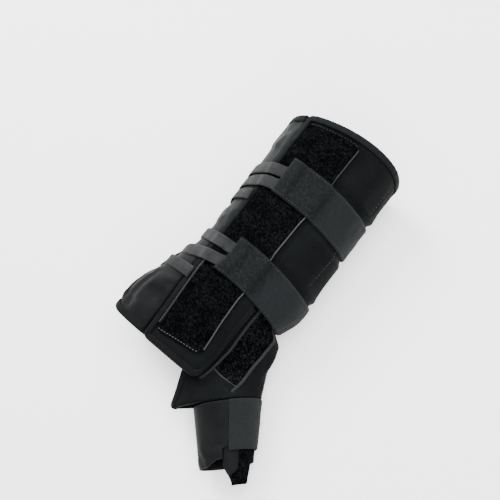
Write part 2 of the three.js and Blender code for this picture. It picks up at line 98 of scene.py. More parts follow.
def sampleField(field, down, over):
    # the field between its grid points, by straight lines; down and over run from 0 to 1 along the grid
    i, j = np.clip(down, 0, 1) * (field.shape[0] - 1), np.clip(over, 0, 1) * (field.shape[1] - 1)
    a = np.minimum(i.astype(int), field.shape[0] - 2)
    b = np.minimum(j.astype(int), field.shape[1] - 2)
    near, far = mix(field[a, b], field[a, b + 1], j - b), mix(field[a + 1, b], field[a + 1, b + 1], j - b)
    return mix(near, far, i - a)


def settleCloth(name, surface, held, growth, cap):
    # cloth simulation of every other point of a sheet cut a little too large for what holds it, so that it
    # buckles as padded fabric does; gives each point's move outwards in millimetres: cap tanh(move / cap)
    allRows, allColumns = surface.shape[:2]
    surface, held = surface[::2, ::2], held[::2, ::2]
    rows, columns = surface.shape[:2]
    scene = bpy.context.scene
    grid = np.arange(rows * columns).reshape(rows, columns)
    quads = np.stack([grid[:-1, :-1], grid[:-1, 1:], grid[1:, 1:], grid[1:, :-1]], -1).reshape(-1, 4)
    mesh = bpy.data.meshes.new(name)
    mesh.from_pydata((surface.reshape(-1, 3) * 0.01).tolist(), [], quads.tolist())
    sheet = bpy.data.objects.new(name, mesh)
    scene.collection.objects.link(sheet)
    sheet.vertex_groups.new(name="held").add(np.flatnonzero(held.ravel()).tolist(), 1.0, "REPLACE")
    settings = sheet.modifiers.new("settle", "CLOTH").settings
    settings.vertex_group_mass = "held"
    settings.quality = 8
    settings.mass = 0.3
    settings.tension_stiffness = settings.compression_stiffness = 15
    settings.shear_stiffness = 5
    settings.bending_stiffness = 1.5
    settings.shrink_min = -growth
    settings.effector_weights.gravity = 0
    for step in range(1, 21):
        scene.frame_set(step)
    moved = np.empty(rows * columns * 3)
    sheet.evaluated_get(bpy.context.evaluated_depsgraph_get()).data.vertices.foreach_get("co", moved)
    bpy.data.objects.remove(sheet)
    scene.frame_set(1)
    outward = unit(np.cross(np.gradient(surface, axis=1), np.gradient(surface, axis=0)))
    move = ((moved.reshape(rows, columns, 3) * 100 - surface) * outward).sum(-1)
    print(f"{name}: moved {move.min():.2f} to {move.max():.2f} mm")
    return sampleField(cap * np.tanh(move / cap), *tables(allRows, allColumns))


# The sleeve's own surface, from the knuckle edge, run 0, to the forearm edge. Turns go from the back, 0, to
# the thumb side, 90.
splint = {
    "length": 210.5,  # along the back
    "restRun": 122,  # run that stands at Y 0
    "cuffWidth": 95, "cuffHeight": 68, "handShift": -20, "settle": 1.5, "wall": 4.5, "edgeLift": 1.6,
    "palmSetback": 18, "palmSetbackSpan": 56, "round": 11, "roundTurn": -84, "roundSpan": 18,
    "cuffSetback": 22, "cuffSetbackSpan": 42, "cuffPeakTurn": 35,
    "laceEdgeX": -31, "panelEdgeX": 17.5, "panelEdgeLean": 4.5,
    "notchRun": 90, "notchTipX": 19.5, "notchRootX": 29.5, "notchPalmTurn": 134,
    "lowerStrap": 85.5, "upperStrap": 155.5, "strapWidth": 30, "strapThick": 1.6, "strapEnd": 205,
    "lowerDrop": 8.2, "upperDrop": 5.2, "dropTurn": 90, "dropRoom": 6.2,  # the straps slant to the knuckles
    "dentRoom": 1.2, "dentEase": 5, "dentStart": (-29, -20), "dentStop": (5, 25),
    "gap": 0.5, "bindingRoom": 0.7, "bindingThick": 0.8, "bindingReach": 3.2,
}
sleeveTable = {
    "at": [0, 0.125, 0.25, 0.38, 0.52, 0.77, 1],
    "width": [1.05, 1.05, 1.05, 1.06, 1.02, 1.025, 1],
    "height": [0.62, 0.68, 0.76, 0.83, 0.87, 0.93, 1],
    "shift": [1.14, 1.03, 0.5, -0.04, -0.03, 0.06, 0.15],
    "square": [2.7, 2.7, 2.6, 2.4, 2.3, 2.3, 2.3],
}
ulnarTable = {"at": [0, 0.3, 0.5, 0.8, 1], "turn": [284, 270, 258, 262, 270]}
perDegree = 0.74  # millimetres round the sleeve for each degree, about


def strapDrop(row, turn):
    # how far the straps' slant has brought a row forward: eased along the rows from strap to strap, and
    # round the sleeve from the back to the thumb side
    clear = splint["strapWidth"] / 2 + splint["dropRoom"]
    between = smooth(row, splint["lowerStrap"] + clear, splint["upperStrap"] - clear)
    lower = splint["lowerDrop"] * smooth(row, 0, splint["lowerStrap"] - clear) * (1 - between)
    upper = splint["upperDrop"] * between * (1 - smooth(row, splint["upperStrap"] + clear, splint["length"]))
    far = splint["strapEnd"]
    return (lower + upper) * smooth(turn, 0, splint["dropTurn"]) * (1 - smooth(turn, far, far + 50))


def dent(run, turn):
    # the straps' thickness, inside their width and where they cover the sleeve
    reach = splint["strapWidth"] / 2 + splint["dentRoom"]
    rows = splint["lowerStrap"], splint["upperStrap"]
    away = [np.abs(run - row + strapDrop(row, turn)) for row in rows]
    deep = 1 - smooth(np.minimum(*away), reach, reach + splint["dentEase"])
    stop = [splint["strapEnd"] + past for past in splint["dentStop"]]
    covered = smooth(turn, *splint["dentStart"]) * (1 - smooth(turn, *stop))
    return (splint["strapThick"] + splint["gap"]) * deep * covered


def section(run):
    # half width, half height, sideways shift and squareness of the sleeve at a run
    at = np.asarray(run, float) / splint["length"]
    return (
        splint["cuffWidth"] / 2 * column(sleeveTable, "width", at),
        splint["cuffHeight"] / 2 * column(sleeveTable, "height", at),
        splint["handShift"] * column(sleeveTable, "shift", at),
        column(sleeveTable, "square", at),
    )


def onSleeve(run, turn, lift):
    # superellipse at a run, at a turn from the back to the thumb side, moved out along its slope by the lift,
    # and never under the plane that the splint rests on
    run, turn, lift = np.broadcast_arrays(*(np.asarray(v, float) for v in (run, turn, lift)))
    half, rise, shift, square = section(run)
    side, up = np.sin(np.radians(turn)), np.cos(np.radians(turn))
    reach = (np.abs(side) ** square + np.abs(up) ** square) ** (-1 / square)
    outX = np.sign(side) * np.abs(side * reach) ** (square - 1) / half
    outZ = np.sign(up) * np.abs(up * reach) ** (square - 1) / rise
    sunk = lift - dent(run, turn)
    out = sunk / np.hypot(outX, outZ)
    knuckles, forearm = splint["palmSetback"], splint["length"] - splint["cuffSetback"]
    ends = 1 - smooth(run, knuckles + 2, knuckles + 12) + smooth(run, forearm - 10, forearm)
    floor = splint["edgeLift"] * ends - sunk
    x = shift + half * side * reach + outX * out
    high = rise - splint["settle"] + rise * up * reach + outZ * out
    return np.stack([x, run - splint["restRun"], np.maximum(high, floor)], -1)


def turnAtX(run, x):
    # the turn at which the back of the sleeve stands at x: the superellipse solved for its angle
    half, _, shift, square = section(run)
    share = np.minimum(np.abs(x - shift) / half, 0.999) ** square
    return np.sign(x - shift) * np.degrees(np.arctan((share / (1 - share)) ** (1 / square)))


def laceEdge(run):
    # the laced edge on the back: a straight line at one X
    return turnAtX(run, splint["laceEdgeX"])


def notchEdge(run):
    # the notch's edge on the back: a straight line from its tip to its root
    share = np.minimum(run / splint["notchRun"], 1)
    return turnAtX(run, mix(splint["notchTipX"], splint["notchRootX"], share))


def ulnarEdge(run):
    # the laced edge on the palm side: the table's curve
    return column(ulnarTable, "turn", np.asarray(run) / splint["length"])


def panelEdge(run):
    # the pile panel's thumb-side edge: a straight line that leans to the thumb towards the forearm
    return turnAtX(run, splint["panelEdgeX"] - splint["panelEdgeLean"] * (1 - run / splint["length"]))


def curvedRun(row, turn):
    # the row, slanted with the straps, and pulled back on a curve at the palm side of the knuckle end, round
    # its little-finger corner, and at the low side of the forearm end: cosines of the turn, and a bell curve
    palm = splint["palmSetback"] * ((1 - np.cos(np.radians(turn))) / 2) ** 2
    cuff = splint["cuffSetback"] * (1 - np.cos(np.radians(turn - splint["cuffPeakTurn"]))) / 2
    fromCorner = (turn + 180) % 360 - 180 - splint["roundTurn"]
    corner = splint["round"] * np.exp(-((fromCorner / splint["roundSpan"]) ** 2))
    length = splint["length"]
    return (
        row
        + (palm + corner) * (1 - smooth(row, 0, splint["palmSetbackSpan"]))
        - cuff * smooth(row, length - splint["cuffSetbackSpan"], length)
        - strapDrop(row, turn)
    )


def roundCorner(row, turn, cornerRow, cornerTurn, radius):
    # how far a grid's square corner is pressed in onto a quarter circle, along the rows and in degrees round:
    # r a (1 - sqrt(1 - b^2 / 2)) and r b (1 - sqrt(1 - a^2 / 2)), with a and b the nearness to its two sides
    a = np.clip(1 - np.abs(row - cornerRow) / radius, 0, 1)
    b = np.clip(1 - np.abs(turn - cornerTurn) * perDegree / radius, 0, 1)
    return radius * a * (1 - np.sqrt(1 - b * b / 2)), radius * b * (1 - np.sqrt(1 - a * a / 2)) / perDegree


def signedVolume(points, quads):
    # a sixth of the sum of each triangle's corner product; it is negative for a shell turned inside out
    a, b, c, d = (points[quads[:, k]] for k in range(4))
    return (np.einsum("ij,ij->", a, np.cross(b, c)) + np.einsum("ij,ij->", a, np.cross(c, d))) / 6


def makePiece(name, points, quads, uv, cloth, replaces=()):
    # one object at the origin from corners in millimetres, quads and a cloth map in millimetres
    points = np.maximum(points, [-np.inf, -np.inf, 0])  # nothing goes under the table top
    mesh = bpy.data.meshes.new(name)
    mesh.from_pydata((points * 0.001).tolist(), [], quads.tolist())
    mesh.polygons.foreach_set("use_smooth", np.ones(len(mesh.polygons), bool))
    layer = mesh.uv_layers.new(name="cloth")
    order = np.empty(len(mesh.loops), np.int64)
    mesh.loops.foreach_get("vertex_index", order)
    layer.data.foreach_set("uv", uv[order].astype(np.float32).ravel())
    mesh.materials.append(cloth)
    piece = bpy.data.objects.new(name, mesh)
    bpy.context.scene.collection.objects.link(piece)
    if signedVolume(points, quads) < 0:
        mesh.flip_normals()
    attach(piece, "root")
    if replaces:
        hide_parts(*replaces)
    return piece


def clothMap(surface):
    # arc lengths along the columns and rows of a grid of points, from its middle column and its first row
    across = np.cumsum(np.linalg.norm(np.diff(surface, axis=1, prepend=surface[:, :1]), axis=-1), axis=1)
    along = np.cumsum(np.linalg.norm(np.diff(surface, axis=0, prepend=surface[:1]), axis=-1), axis=0)
    across = across - across[:, across.shape[1] // 2 : across.shape[1] // 2 + 1]
    return np.stack([across, along], -1)


def wallQuads(rows, columns, filled):
    # quads of an outer and an inner grid of corners, joined all round the filled cells
    grid = np.arange(rows * columns).reshape(rows, columns)
    inner = grid + rows * columns
    a, b, c, d = grid[:-1, :-1], grid[:-1, 1:], grid[1:, 1:], grid[1:, :-1]
    e, f, g, h = inner[:-1, :-1], inner[:-1, 1:], inner[1:, 1:], inner[1:, :-1]
    ring = np.pad(filled, 1)
    low, high = filled & ~ring[:-2, 1:-1], filled & ~ring[2:, 1:-1]
    left, right = filled & ~ring[1:-1, :-2], filled & ~ring[1:-1, 2:]
    parts = [
        np.stack([a, b, c, d], -1)[filled],
        np.stack([e, h, g, f], -1)[filled],
        np.stack([a, e, f, b], -1)[low],
        np.stack([c, g, h, d], -1)[high],
        np.stack([d, h, e, a], -1)[left],
        np.stack([b, f, g, c], -1)[right],
    ]
    return np.concatenate(parts)


def makeWall(name, outer, inner, cloth, replaces=(), filled=None):
    # a soft wall between an outer and an inner grid of points, closed round its edges
    rows, columns = outer.shape[:2]
    if filled is None:
        filled = np.ones((rows - 1, columns - 1), bool)
    quads = wallQuads(rows, columns, filled)
    points = np.concatenate([outer.reshape(-1, 3), inner.reshape(-1, 3)])
    uv = clothMap(outer).reshape(-1, 2)
    uv = np.concatenate([uv, uv])
    used, place = np.unique(quads, return_inverse=True)
    return makePiece(name, points[used], place.reshape(quads.shape), uv[used], cloth, replaces)


def roundedEdges(rows, columns, radiusRows, radiusColumns):
    # thickness share of a sheet with rounded edges: sqrt(1 - (1 - d / r)^2) of the nearest edge's distance d
    i, j = np.meshgrid(np.arange(rows), np.arange(columns), indexing="ij")
    fall = 1.0
    for place, count, radius in ((i, rows, radiusRows), (j, columns, radiusColumns)):
        near = np.clip(np.minimum(place, count - 1 - place) / radius, 0, 1)
        fall = np.minimum(fall, 0.25 + 0.75 * np.sqrt(1 - (1 - near) ** 2))
    return fall


def makeLayer(name, surface, u, v, middle, thick, rounds, cloth, replaces=()):
    # a wall on a surface, half its thickness to each side of its middle lift, with rounded edges
    half = thick / 2 * roundedEdges(*u.shape, *rounds)
    return makeWall(name, surface(u, v, middle + half), surface(u, v, middle - half), cloth, replaces)


def surfaceLine(surface, u, v, lift, spacing=None):
    # points along a line at a lift on a surface and their outward directions, at a spacing if one is given
    at = surface(u, v, lift)
    up = unit(surface(u, v, np.asarray(lift) + 1) - at)
    if spacing:
        line = evenPath(np.c_[at, up], spacing)
        at, up = line[:, :3], unit(line[:, 3:])
    return at, up


def makeTrim(name, points, ups, profile, cloth, slot="binding_tape", replaces=(), reach=1.0):
    # a profile of [outwards, upwards] pairs carried along a path: each corner is point + out o + up u; the
    # part that laps inwards is scaled by the reach at each point
    ahead = np.r_[points[1:], points[-1:] * 2 - points[-2:-1]]
    behind = np.r_[points[:1] * 2 - points[1:2], points[:-1]]
    onward = unit(unit(ahead - points) + unit(points - behind))
    out = unit(np.cross(ups, onward))
    lap = np.where(profile[None, :, :1] < 0, np.broadcast_to(reach, len(points))[:, None, None], 1)
    sideways, high = profile[None, :, :1] * lap, profile[None, :, 1:]
    corners = points[:, None] + out[:, None] * sideways + ups[:, None] * high
    stations, n = corners.shape[:2]
    grid = np.arange(stations * n).reshape(stations, n)
    a, d = grid[:-1], grid[1:]
    sides = np.stack([a, np.roll(a, -1, 1), np.roll(d, -1, 1), d], -1).reshape(-1, 4)
    k = np.arange(n // 2 - 1)
    cap = np.stack([k, k + 1, n - 2 - k, n - 1 - k], -1)  # each end is filled by quads across the profile
    quads = np.concatenate([sides, cap[:, ::-1], cap + (stations - 1) * n])
    length = np.r_[0, np.cumsum(np.linalg.norm(np.diff(points, axis=0), axis=1))]
    girth = np.r_[0, np.cumsum(np.linalg.norm(np.diff(profile, axis=0), axis=1))]
    uv = np.stack(np.broadcast_arrays(length[:, None], girth[None]), -1).reshape(-1, 2)
    return makePiece(name, corners.reshape(-1, 3), quads, uv, cloth, replaces)


def foldedTape(wall, room, thick, reach):
    # tape folded over an edge: an outer line round the wall and an inner line back, both with round shoulders
    turn = np.radians(np.linspace(90, -90, 9))
    shoulder = np.stack([np.cos(turn), np.sin(turn)], -1)
    middle, half = -wall / 2, wall / 2 + room
    flare = half + thick
    outer = np.stack([thick * 0.6 + flare * 0.42 * shoulder[:, 0], middle + flare * shoulder[:, 1]], -1)
    inner = np.stack([flare * 0.42 * shoulder[::-1, 0] - thick * 0.4, middle + half * shoulder[::-1, 1]], -1)
    top = np.array([
        [-reach, middle + half],
        [-reach - 0.35, middle + half + thick * 0.45],
        [-reach, middle + flare],
        [-reach * 0.55, middle + flare + 0.12],
    ])
    low = top[::-1] * [1, -1] + [0, 2 * middle]
    return np.concatenate([outer, low, inner, top])


def weltProfile(width, high):
    # half an oval on a flat base: [w cos, h sin]
    angle = np.radians(np.linspace(0, 180, 9))
    top = np.stack([width / 2 * np.cos(angle), high * np.sin(angle)], -1)
    base = np.stack([np.linspace(-width / 2, width / 2, 9)[1:-1], np.full(7, -0.3)], -1)
    return np.concatenate([top, base])


def makeStitches(name, points, ups, cloth, slot, pitch=3.0, share=0.68, radius=0.27):
    # short round threads laid end to end along a path: rings of radius r sqrt(1 - x^2) along each stitch
    line = evenPath(points, 0.5)
    steps, places = np.linspace(0, 1, len(line)), np.linspace(0, 1, len(ups))
    lift = unit(np.stack([np.interp(steps, places, ups[:, k]) for k in range(3)], -1))
    length = np.r_[0, np.cumsum(np.linalg.norm(np.diff(line, axis=0), axis=1))]
    middles = np.arange(pitch / 2, length[-1], pitch)
    at = lambda values, places: np.stack([np.interp(places, length, values[:, k]) for k in range(3)], -1)
    centre, up = at(line, middles), unit(at(lift, middles))
    onward = unit(at(line, middles + 0.4) - at(line, middles - 0.4))
    side = unit(np.cross(up, onward))
    x = np.array([-1, -0.8, 0, 0.8, 1])
    angle = np.radians(np.arange(6) * 60)
    ringSize = radius * np.array([0.25, 0.8, 1, 0.8, 0.25])
    along = x * pitch * share / 2
    sideways = ringSize[:, None] * np.cos(angle)
    high = ringSize[:, None] * np.sin(angle) + radius * 0.5 * (1 - x[:, None] ** 2)
    rings = (
        centre[:, None, None]
        + onward[:, None, None] * along[None, :, None, None]
        + side[:, None, None] * sideways[None, :, :, None]
        + up[:, None, None] * high[None, :, :, None]
    )
    grid = np.arange(len(middles) * 30).reshape(-1, 5, 6)
    a, b = grid[:, :-1], grid[:, 1:]
    sides = np.stack([a, np.roll(a, -1, 2), np.roll(b, -1, 2), b], -1).reshape(-1, 4)
    first, last = grid[:, 0, ::-1], grid[:, 4]
    caps = [first[:, [0, 3, 4, 5]], last[:, [0, 1, 2, 5]], first[:, [0, 1, 2, 3]], last[:, [2, 3, 4, 5]]]
    quads = np.concatenate([sides, *caps])
    return makePiece(name, rings.reshape(-1, 3), quads, np.zeros((rings.size // 3, 2)), cloth)


def sleeveStitches(name, run, turn, lift, cloth, slot, **kind):
    # a row of stitches on the sleeve along runs and turns, at a lift
    return makeStitches(name, *surfaceLine(onSleeve, run, turn, lift), cloth, slot, **kind)


class Signal:
    # a socket of a node tree, so that shader maths reads as sums and products
    def __init__(self, cloth, socket):
        self.cloth, self.socket = cloth, socket

    def through(self, operation, *values):
        return self.cloth.node("ShaderNodeMath", {"operation": operation}, dict(enumerate(values)))

    def __add__(self, other):
        return self.through("ADD", self, other)

    def __sub__(self, other):
        return self.through("SUBTRACT", self, other)

    def __mul__(self, other):
        return self.through("MULTIPLY", self, other)

    __radd__ = __add__
    __rmul__ = __mul__


class Cloth:
    # a fabric material: its nodes, with one shader whose fixed values are set on its sockets
    def __init__(self, name, **fixed):
        self.material = bpy.data.materials.new(name)
        self.material.use_nodes = True
        self.tree = self.material.node_tree
        self.shader = self.tree.nodes["Principled BSDF"]
        for socket, value in fixed.items():
            self.shader.inputs[socket.replace("_", " ")].default_value = value
        self.place = self.node("ShaderNodeTexCoord", output="Object")
        self.map = self.node("ShaderNodeUVMap", {"uv_map": "cloth"}, output="UV")

    def node(self, kind, settings=None, sockets=None, output=0):
        # a new node with its settings, its sockets set or linked, and one of its outputs as a signal
        made = self.tree.nodes.new(kind)
        for key, value in (settings or {}).items():
            setattr(made, key, value)
        for key, value in (sockets or {}).items():
            if isinstance(value, Signal):
                self.tree.links.new(value.socket, made.inputs[key])
            else:
                made.inputs[key].default_value = value
        return Signal(self, made.outputs[output])

    def wave(self, value, pitch):
        # sine from 0 to 1 with the given pitch, in the value's own unit
        angle = value * (2 * np.pi / pitch)
        return angle.through("SINE", angle) * 0.5 + 0.5

    def ramp(self, value, start, stop):
        # straight rise from 0 at start to 1 at stop
        return self.node("ShaderNodeMapRange", {}, {0: value, 1: start, 2: stop, 3: 0.0, 4: 1.0})

    def grain(self, size, detail=3.0, rough=0.55):
        # fractal noise whose largest lumps are about size millimetres
        sockets = {"Vector": self.place, "Scale": 1000 / size, "Detail": detail, "Roughness": rough}
        return self.node("ShaderNodeTexNoise", {}, sockets, "Fac")

    def axes(self):
        # the cloth map's two directions, in millimetres
        node = self.node("ShaderNodeSeparateXYZ", {}, {"Vector": self.map}).socket.node
        return Signal(self, node.outputs[0]), Signal(self, node.outputs[1])

    def finish(self, dark, light, shade, roughness, relief, depth):
        # colour from dark to light by the shade, roughness by a number or signal, bumps in millimetres
        sockets = {0: shade, 6: (*dark, 1), 7: (*light, 1)}
        colour = self.node("ShaderNodeMix", {"data_type": "RGBA"}, sockets, output=2)
        self.tree.links.new(colour.socket, self.shader.inputs["Base Color"])
        if isinstance(roughness, Signal):
            self.tree.links.new(roughness.socket, self.shader.inputs["Roughness"])
        else:
            self.shader.inputs["Roughness"].default_value = roughness
        sockets = {"Height": relief, "Strength": 1.0, "Distance": depth * 0.001}
        bump = self.node("ShaderNodeBump", {}, sockets, "Normal")
        self.tree.links.new(bump.socket, self.shader.inputs["Normal"])
        return self.material


def laminateCloth():
    # a fine knit face over foam: small grain, faint ribs and slow changes of tone
    cloth = Cloth("laminate_knit", Specular_IOR_Level=0.04, Sheen_Weight=0.017, Sheen_Roughness=0.5)
    across, along = cloth.axes()
    knit = cloth.wave(across, 1.2) * cloth.wave(along + cloth.grain(6) * 0.5, 1.0)
    slow, fine = cloth.grain(30, 4), cloth.grain(1.1, 3, 0.65)
    shade = (slow - 0.5) * 1.3 + (fine - 0.5) * 1.2 + knit * 0.25 + 0.35
    dark, light = (0.0008, 0.00105, 0.0012), (0.0053, 0.0063, 0.0068)
    return cloth.finish(dark, light, shade, slow * 0.15 + 0.72, knit * 0.6 + fine, 0.22)


def pileCloth(name="loop_pile", tone=1.0):
    # brushed loops: deep small tufts, nearly black between them, combed into a few lighter streaks
    cloth = Cloth(name, Specular_IOR_Level=0.012, Sheen_Weight=0.005, Sheen_Roughness=0.6)
    sockets = {"Vector": cloth.place, "Scale": 1000 / 1.7, "Randomness": 1.0}
    tufts = cloth.node("ShaderNodeTexVoronoi", {}, sockets, "Distance")
    loops, slow = cloth.grain(1.6, 4, 0.75), cloth.grain(11, 3)
    shade = (loops - 0.48) * 4.6 + (slow - 0.5) * 1.2 - (tufts - 0.4) * 0.6 + 0.12
    dark, light = (0.0001, 0.0002, 0.0003), (0.0058, 0.0068, 0.0072)
    return cloth.finish(dark, tuple(tone * k for k in light), shade, 0.95, loops - tufts * 0.6, 0.7)


def bindingCloth(name="binding_ribs", pale=None):
    # folded tape with fine ribs across its length, and a paler stretch along its length
    cloth = Cloth(name, Specular_IOR_Level=0.05, Sheen_Weight=0.022, Sheen_Roughness=0.45)
    along, _ = cloth.axes()
    ribs = cloth.wave(along, 1.15)
    slow, fine = cloth.grain(16, 3), cloth.grain(0.9, 2)
    shade = ribs * 0.4 + (slow - 0.5) * 1.2 + (fine - 0.5) * 0.8 + 0.3
    if pale:
        inside = cloth.ramp(along, pale[0], pale[0] + 6.0) * cloth.ramp(along, pale[1], pale[1] - 6.0)
        shade = shade * (inside * 1.2 + 1) + inside * 0.5
    dark, light = (0.0009, 0.0011, 0.0013), (0.0048, 0.0056, 0.0060)
    return cloth.finish(dark, light, shade, slow * 0.2 + 0.66, ribs + fine * 0.5, 0.16)


def liningCloth(name="stretch_lining", tone=1.0, paintedHighlight=1.25):
    # smooth stretch lining with a soft grey shine, and a painted highlight that makes it paler towards the
    # forearm end by the given amount
    cloth = Cloth(name, Specular_IOR_Level=0.08, Sheen_Weight=0.026, Sheen_Roughness=0.4)
    across, along = cloth.axes()
    ribs = cloth.wave(across, 1.0)
    slow, fine = cloth.grain(20, 3), cloth.grain(0.9, 2)
    # painted highlight: paler from 50 to 190 mm along the cloth, towards the forearm end where the key light
    # falls on the tongue
    highlightShare = cloth.ramp(along, 50.0, 190.0)
    shade = (slow - 0.5) * 1.0 + (fine - 0.5) * 0.6 + ribs * 0.2 + highlightShare * paintedHighlight + 0.04
    dark, light = (0.0012, 0.0015, 0.0017), (0.0100, 0.0115, 0.0122)
    light = tuple(tone * k for k in light)
    return cloth.finish(dark, light, shade, slow * 0.18 + 0.48, ribs * 0.5 + fine * 0.6, 0.12)


def webbingCloth(name, dark, light, pitch=1.3, worn=True):
    # woven strap: twill floats that cross the width on a slant, broken by the thread's own unevenness, with a
    # rougher, mottled stretch where it is peeled up and pressed down again
    cloth = Cloth(name, Specular_IOR_Level=0.06, Sheen_Weight=0.025, Sheen_Roughness=0.5)
    across, along = cloth.axes()
    wobble = cloth.grain(3.5, 2) * 0.9
    twill = cloth.wave(across + along + wobble, pitch)
    picks = cloth.wave(across - along * 0.3 + wobble, pitch * 0.72)
    slow, fine, mottle = cloth.grain(18, 4), cloth.grain(1.1, 3, 0.7), cloth.grain(1.9, 2, 0.6)
    shade = twill * picks * 0.5 + (slow - 0.5) * 0.4 + (fine - 0.5) * 1.1 + 0.4
    if worn:
        shade = shade + (mottle - 0.66) * 1.9 * cloth.ramp(across, -38.0, -52.0)
    relief = twill * 0.7 + picks * 0.3 + fine * 0.6 + mottle * 0.8
    return cloth.finish(dark, light, shade, slow * 0.15 + 0.7, relief, 0.3)


def laceCloth():
    # flat braid: chevrons that meet on the middle line
    cloth = Cloth("lace_braid", Specular_IOR_Level=0.08, Sheen_Weight=0.05, Sheen_Roughness=0.45)
    across, along = cloth.axes()
    braid = cloth.wave(along + across.through("ABSOLUTE", across), 1.6)
    slow, fine = cloth.grain(9, 3), cloth.grain(0.9, 2)
    shade = braid * 0.4 + (slow - 0.5) * 1.6 + (fine - 0.5) * 0.8 + 0.35
    dark, light = (0.0060, 0.0062, 0.0066), (0.0222, 0.0228, 0.0238)
    return cloth.finish(dark, light, shade, 0.66, braid + fine * 0.5, 0.25)


def threadCloth(name, tone):
    # sewing thread with a faint twist
    cloth = Cloth(name, Specular_IOR_Level=0.2, Sheen_Weight=0.05)
    fine = cloth.grain(0.9, 2)
    dark, light = tuple(tone * k for k in (0.5, 0.51, 0.52)), (tone, tone * 1.01, tone * 1.03)
    return cloth.finish(dark, light, fine, 0.6, fine, 0.06)


laminate, binding = laminateCloth(), bindingCloth()
# the gauntlet's pile is the panel's pile made 1.7 times lighter: painted light that lifts it out of the shade
# it lies in
pile, paintedLightPatchPile = pileCloth(), pileCloth("gauntlet_pile", 1.7)
# the tongue's lining carries the painted highlight towards the forearm; the thumb's lining has none
lining, thumbLining = liningCloth(), liningCloth("thumb_lining", 0.85, 0.0)
webbing = webbingCloth("wrist_webbing", (0.0027, 0.0034, 0.0038), (0.0120, 0.0141, 0.0150))
thumbWebbing = webbingCloth("thumb_webbing", (0.0034, 0.0041, 0.0045), (0.0140, 0.0161, 0.0169), 1.1, False)
edgeTape = webbingCloth("pale_edge_tape", (0.0075, 0.0081, 0.0085), (0.027, 0.0285, 0.0295), 0.9, False)
laceTape = laceCloth()
paleThread, darkThread = threadCloth("pale_thread", 0.075), threadCloth("dark_thread", 0.014)
edgeThread, foldThread = threadCloth("edge_thread", 0.036), threadCloth("fold_thread", 0.009)
print("materials made")

# The padded sleeve
pad = {
    "corner": 3, "tipCorner": 6, "roll": 0.35, "rollIn": (3, 7), "rollOut": (7, 18), "fullDent": 2.1,
    "creases": 0.16, "creaseSize": 22, "creaseIn": (3, 14), "underPanel": 0.3, "seed": 4,
    "heldEdge": 5, "growth": 0.012, "cap": 0.9, "seamTurn": 62, "seamLean": 0.18, "seamRun": 97,
    "seamStart": 60, "seamWide": 0.9, "seamDeep": 0.45,
}


def sleeveGrid(row, share):
    # run and turn on the sleeve: share 0 to 1 on the back, 1 to 2 over the notch, 2 to 3 on the palm side
    row, share = np.broadcast_arrays(np.asarray(row, float), np.asarray(share, float))
    back, front, palm, low = laceEdge(row), notchEdge(row), splint["notchPalmTurn"], ulnarEdge(row)
    overPalm = np.where(share <= 2, mix(front, palm, share - 1), mix(palm, low, share - 2))
    turn = np.where(share <= 1, mix(back, front, share), overPalm)
    placed = row
    for cornerRow, inward in ((0.0, 1), (splint["length"], -1)):
        for edge, radius, inside in (
            (back, pad["corner"], share < 0.6),
            (low, pad["corner"], share > 2.4),
            (front, pad["tipCorner"], (share > 0.6) & (share <= 1) & (inward > 0)),
            (palm, pad["tipCorner"], (share >= 2) & (share < 2.4) & (inward > 0)),
        ):
            side = np.sign(mix(0.5, 2.5, share > 1.5) - share)
            byRow, byTurn = roundCorner(row, turn, cornerRow, edge, radius)
            placed = placed + inward * byRow * inside
            turn = turn + side * byTurn * inside
    return curvedRun(placed, turn), turn


def edgeDistance(row, share, turn):
    # millimetres from the nearest cut edge, measured along the rows and round the sleeve
    ends = np.minimum(row, splint["length"] - row)
    sides = np.minimum(np.abs(turn - laceEdge(row)), np.abs(ulnarEdge(row) - turn)) * perDegree
    notch = np.minimum(np.abs(turn - notchEdge(row)), np.abs(turn - splint["notchPalmTurn"])) * perDegree
    notch = np.where(row < splint["notchRun"], notch, np.inf)
    return np.minimum(np.minimum(ends, sides), notch)


def seamLine(run):
    # the turn of the sewn seam on the thumb side: a straight line that leans towards the palm
    return pad["seamTurn"] + pad["seamLean"] * (run - pad["seamRun"])


shellRows = np.r_[np.linspace(0, 90, 61), np.linspace(90, splint["length"], 82)[1:]]
shellShares = np.r_[np.linspace(0, 1, 61), np.linspace(1, 2, 45)[1:], np.linspace(2, 3, 73)[1:]]
row, share = np.meshgrid(shellRows, shellShares, indexing="ij")
run, turn = sleeveGrid(row, share)
near = edgeDistance(row, share, turn)
roll = pad["roll"] * smooth(near, *pad["rollIn"]) * (1 - smooth(near, *pad["rollOut"]))
bare = 1 - np.minimum(dent(run, turn) / pad["fullDent"], 1)
underPanel = np.where((turn > -40) & (turn < panelEdge(run)), pad["underPanel"], 1)
creases = pad["creases"] * crumple(turn * perDegree, run * 0.6, pad["creaseSize"], pad["seed"])
creases = creases * bare * smooth(near, *pad["creaseIn"]) * underPanel
held = (near < pad["heldEdge"]) | (bare < 0.6) | (turn < panelEdge(run) + 3)
settled = settleCloth("sleeve_settling", onSleeve(run, turn, creases), held, pad["growth"], pad["cap"])
seam = np.exp(-(((turn - seamLine(run)) * perDegree / pad["seamWide"]) ** 2)) * (run > pad["seamStart"])
lift = roll + creases + settled - pad["seamDeep"] * seam * bare
cells = (slice(None, -1), slice(None, -1))
inNotch = (row < splint["notchRun"] - 1e-6) & (share > 1 - 1e-6) & (share < 2 - 1e-6)
sleevePad = makeWall(
    "sleeve_pad", onSleeve(run, turn, lift), onSleeve(run, turn, lift * 0.4 - splint["wall"]), laminate,
    ["sleeve_shell"], ~inNotch[cells],
)

# Its bound edge, from the notch's root round the knuckle end, laced edge, forearm end, palm edge and back
tape = {"spacing": 1.2, "pucker": 0.12, "puckerSize": 7, "seed": 8, "narrowReach": 0.45, "underStrap": 17.4}


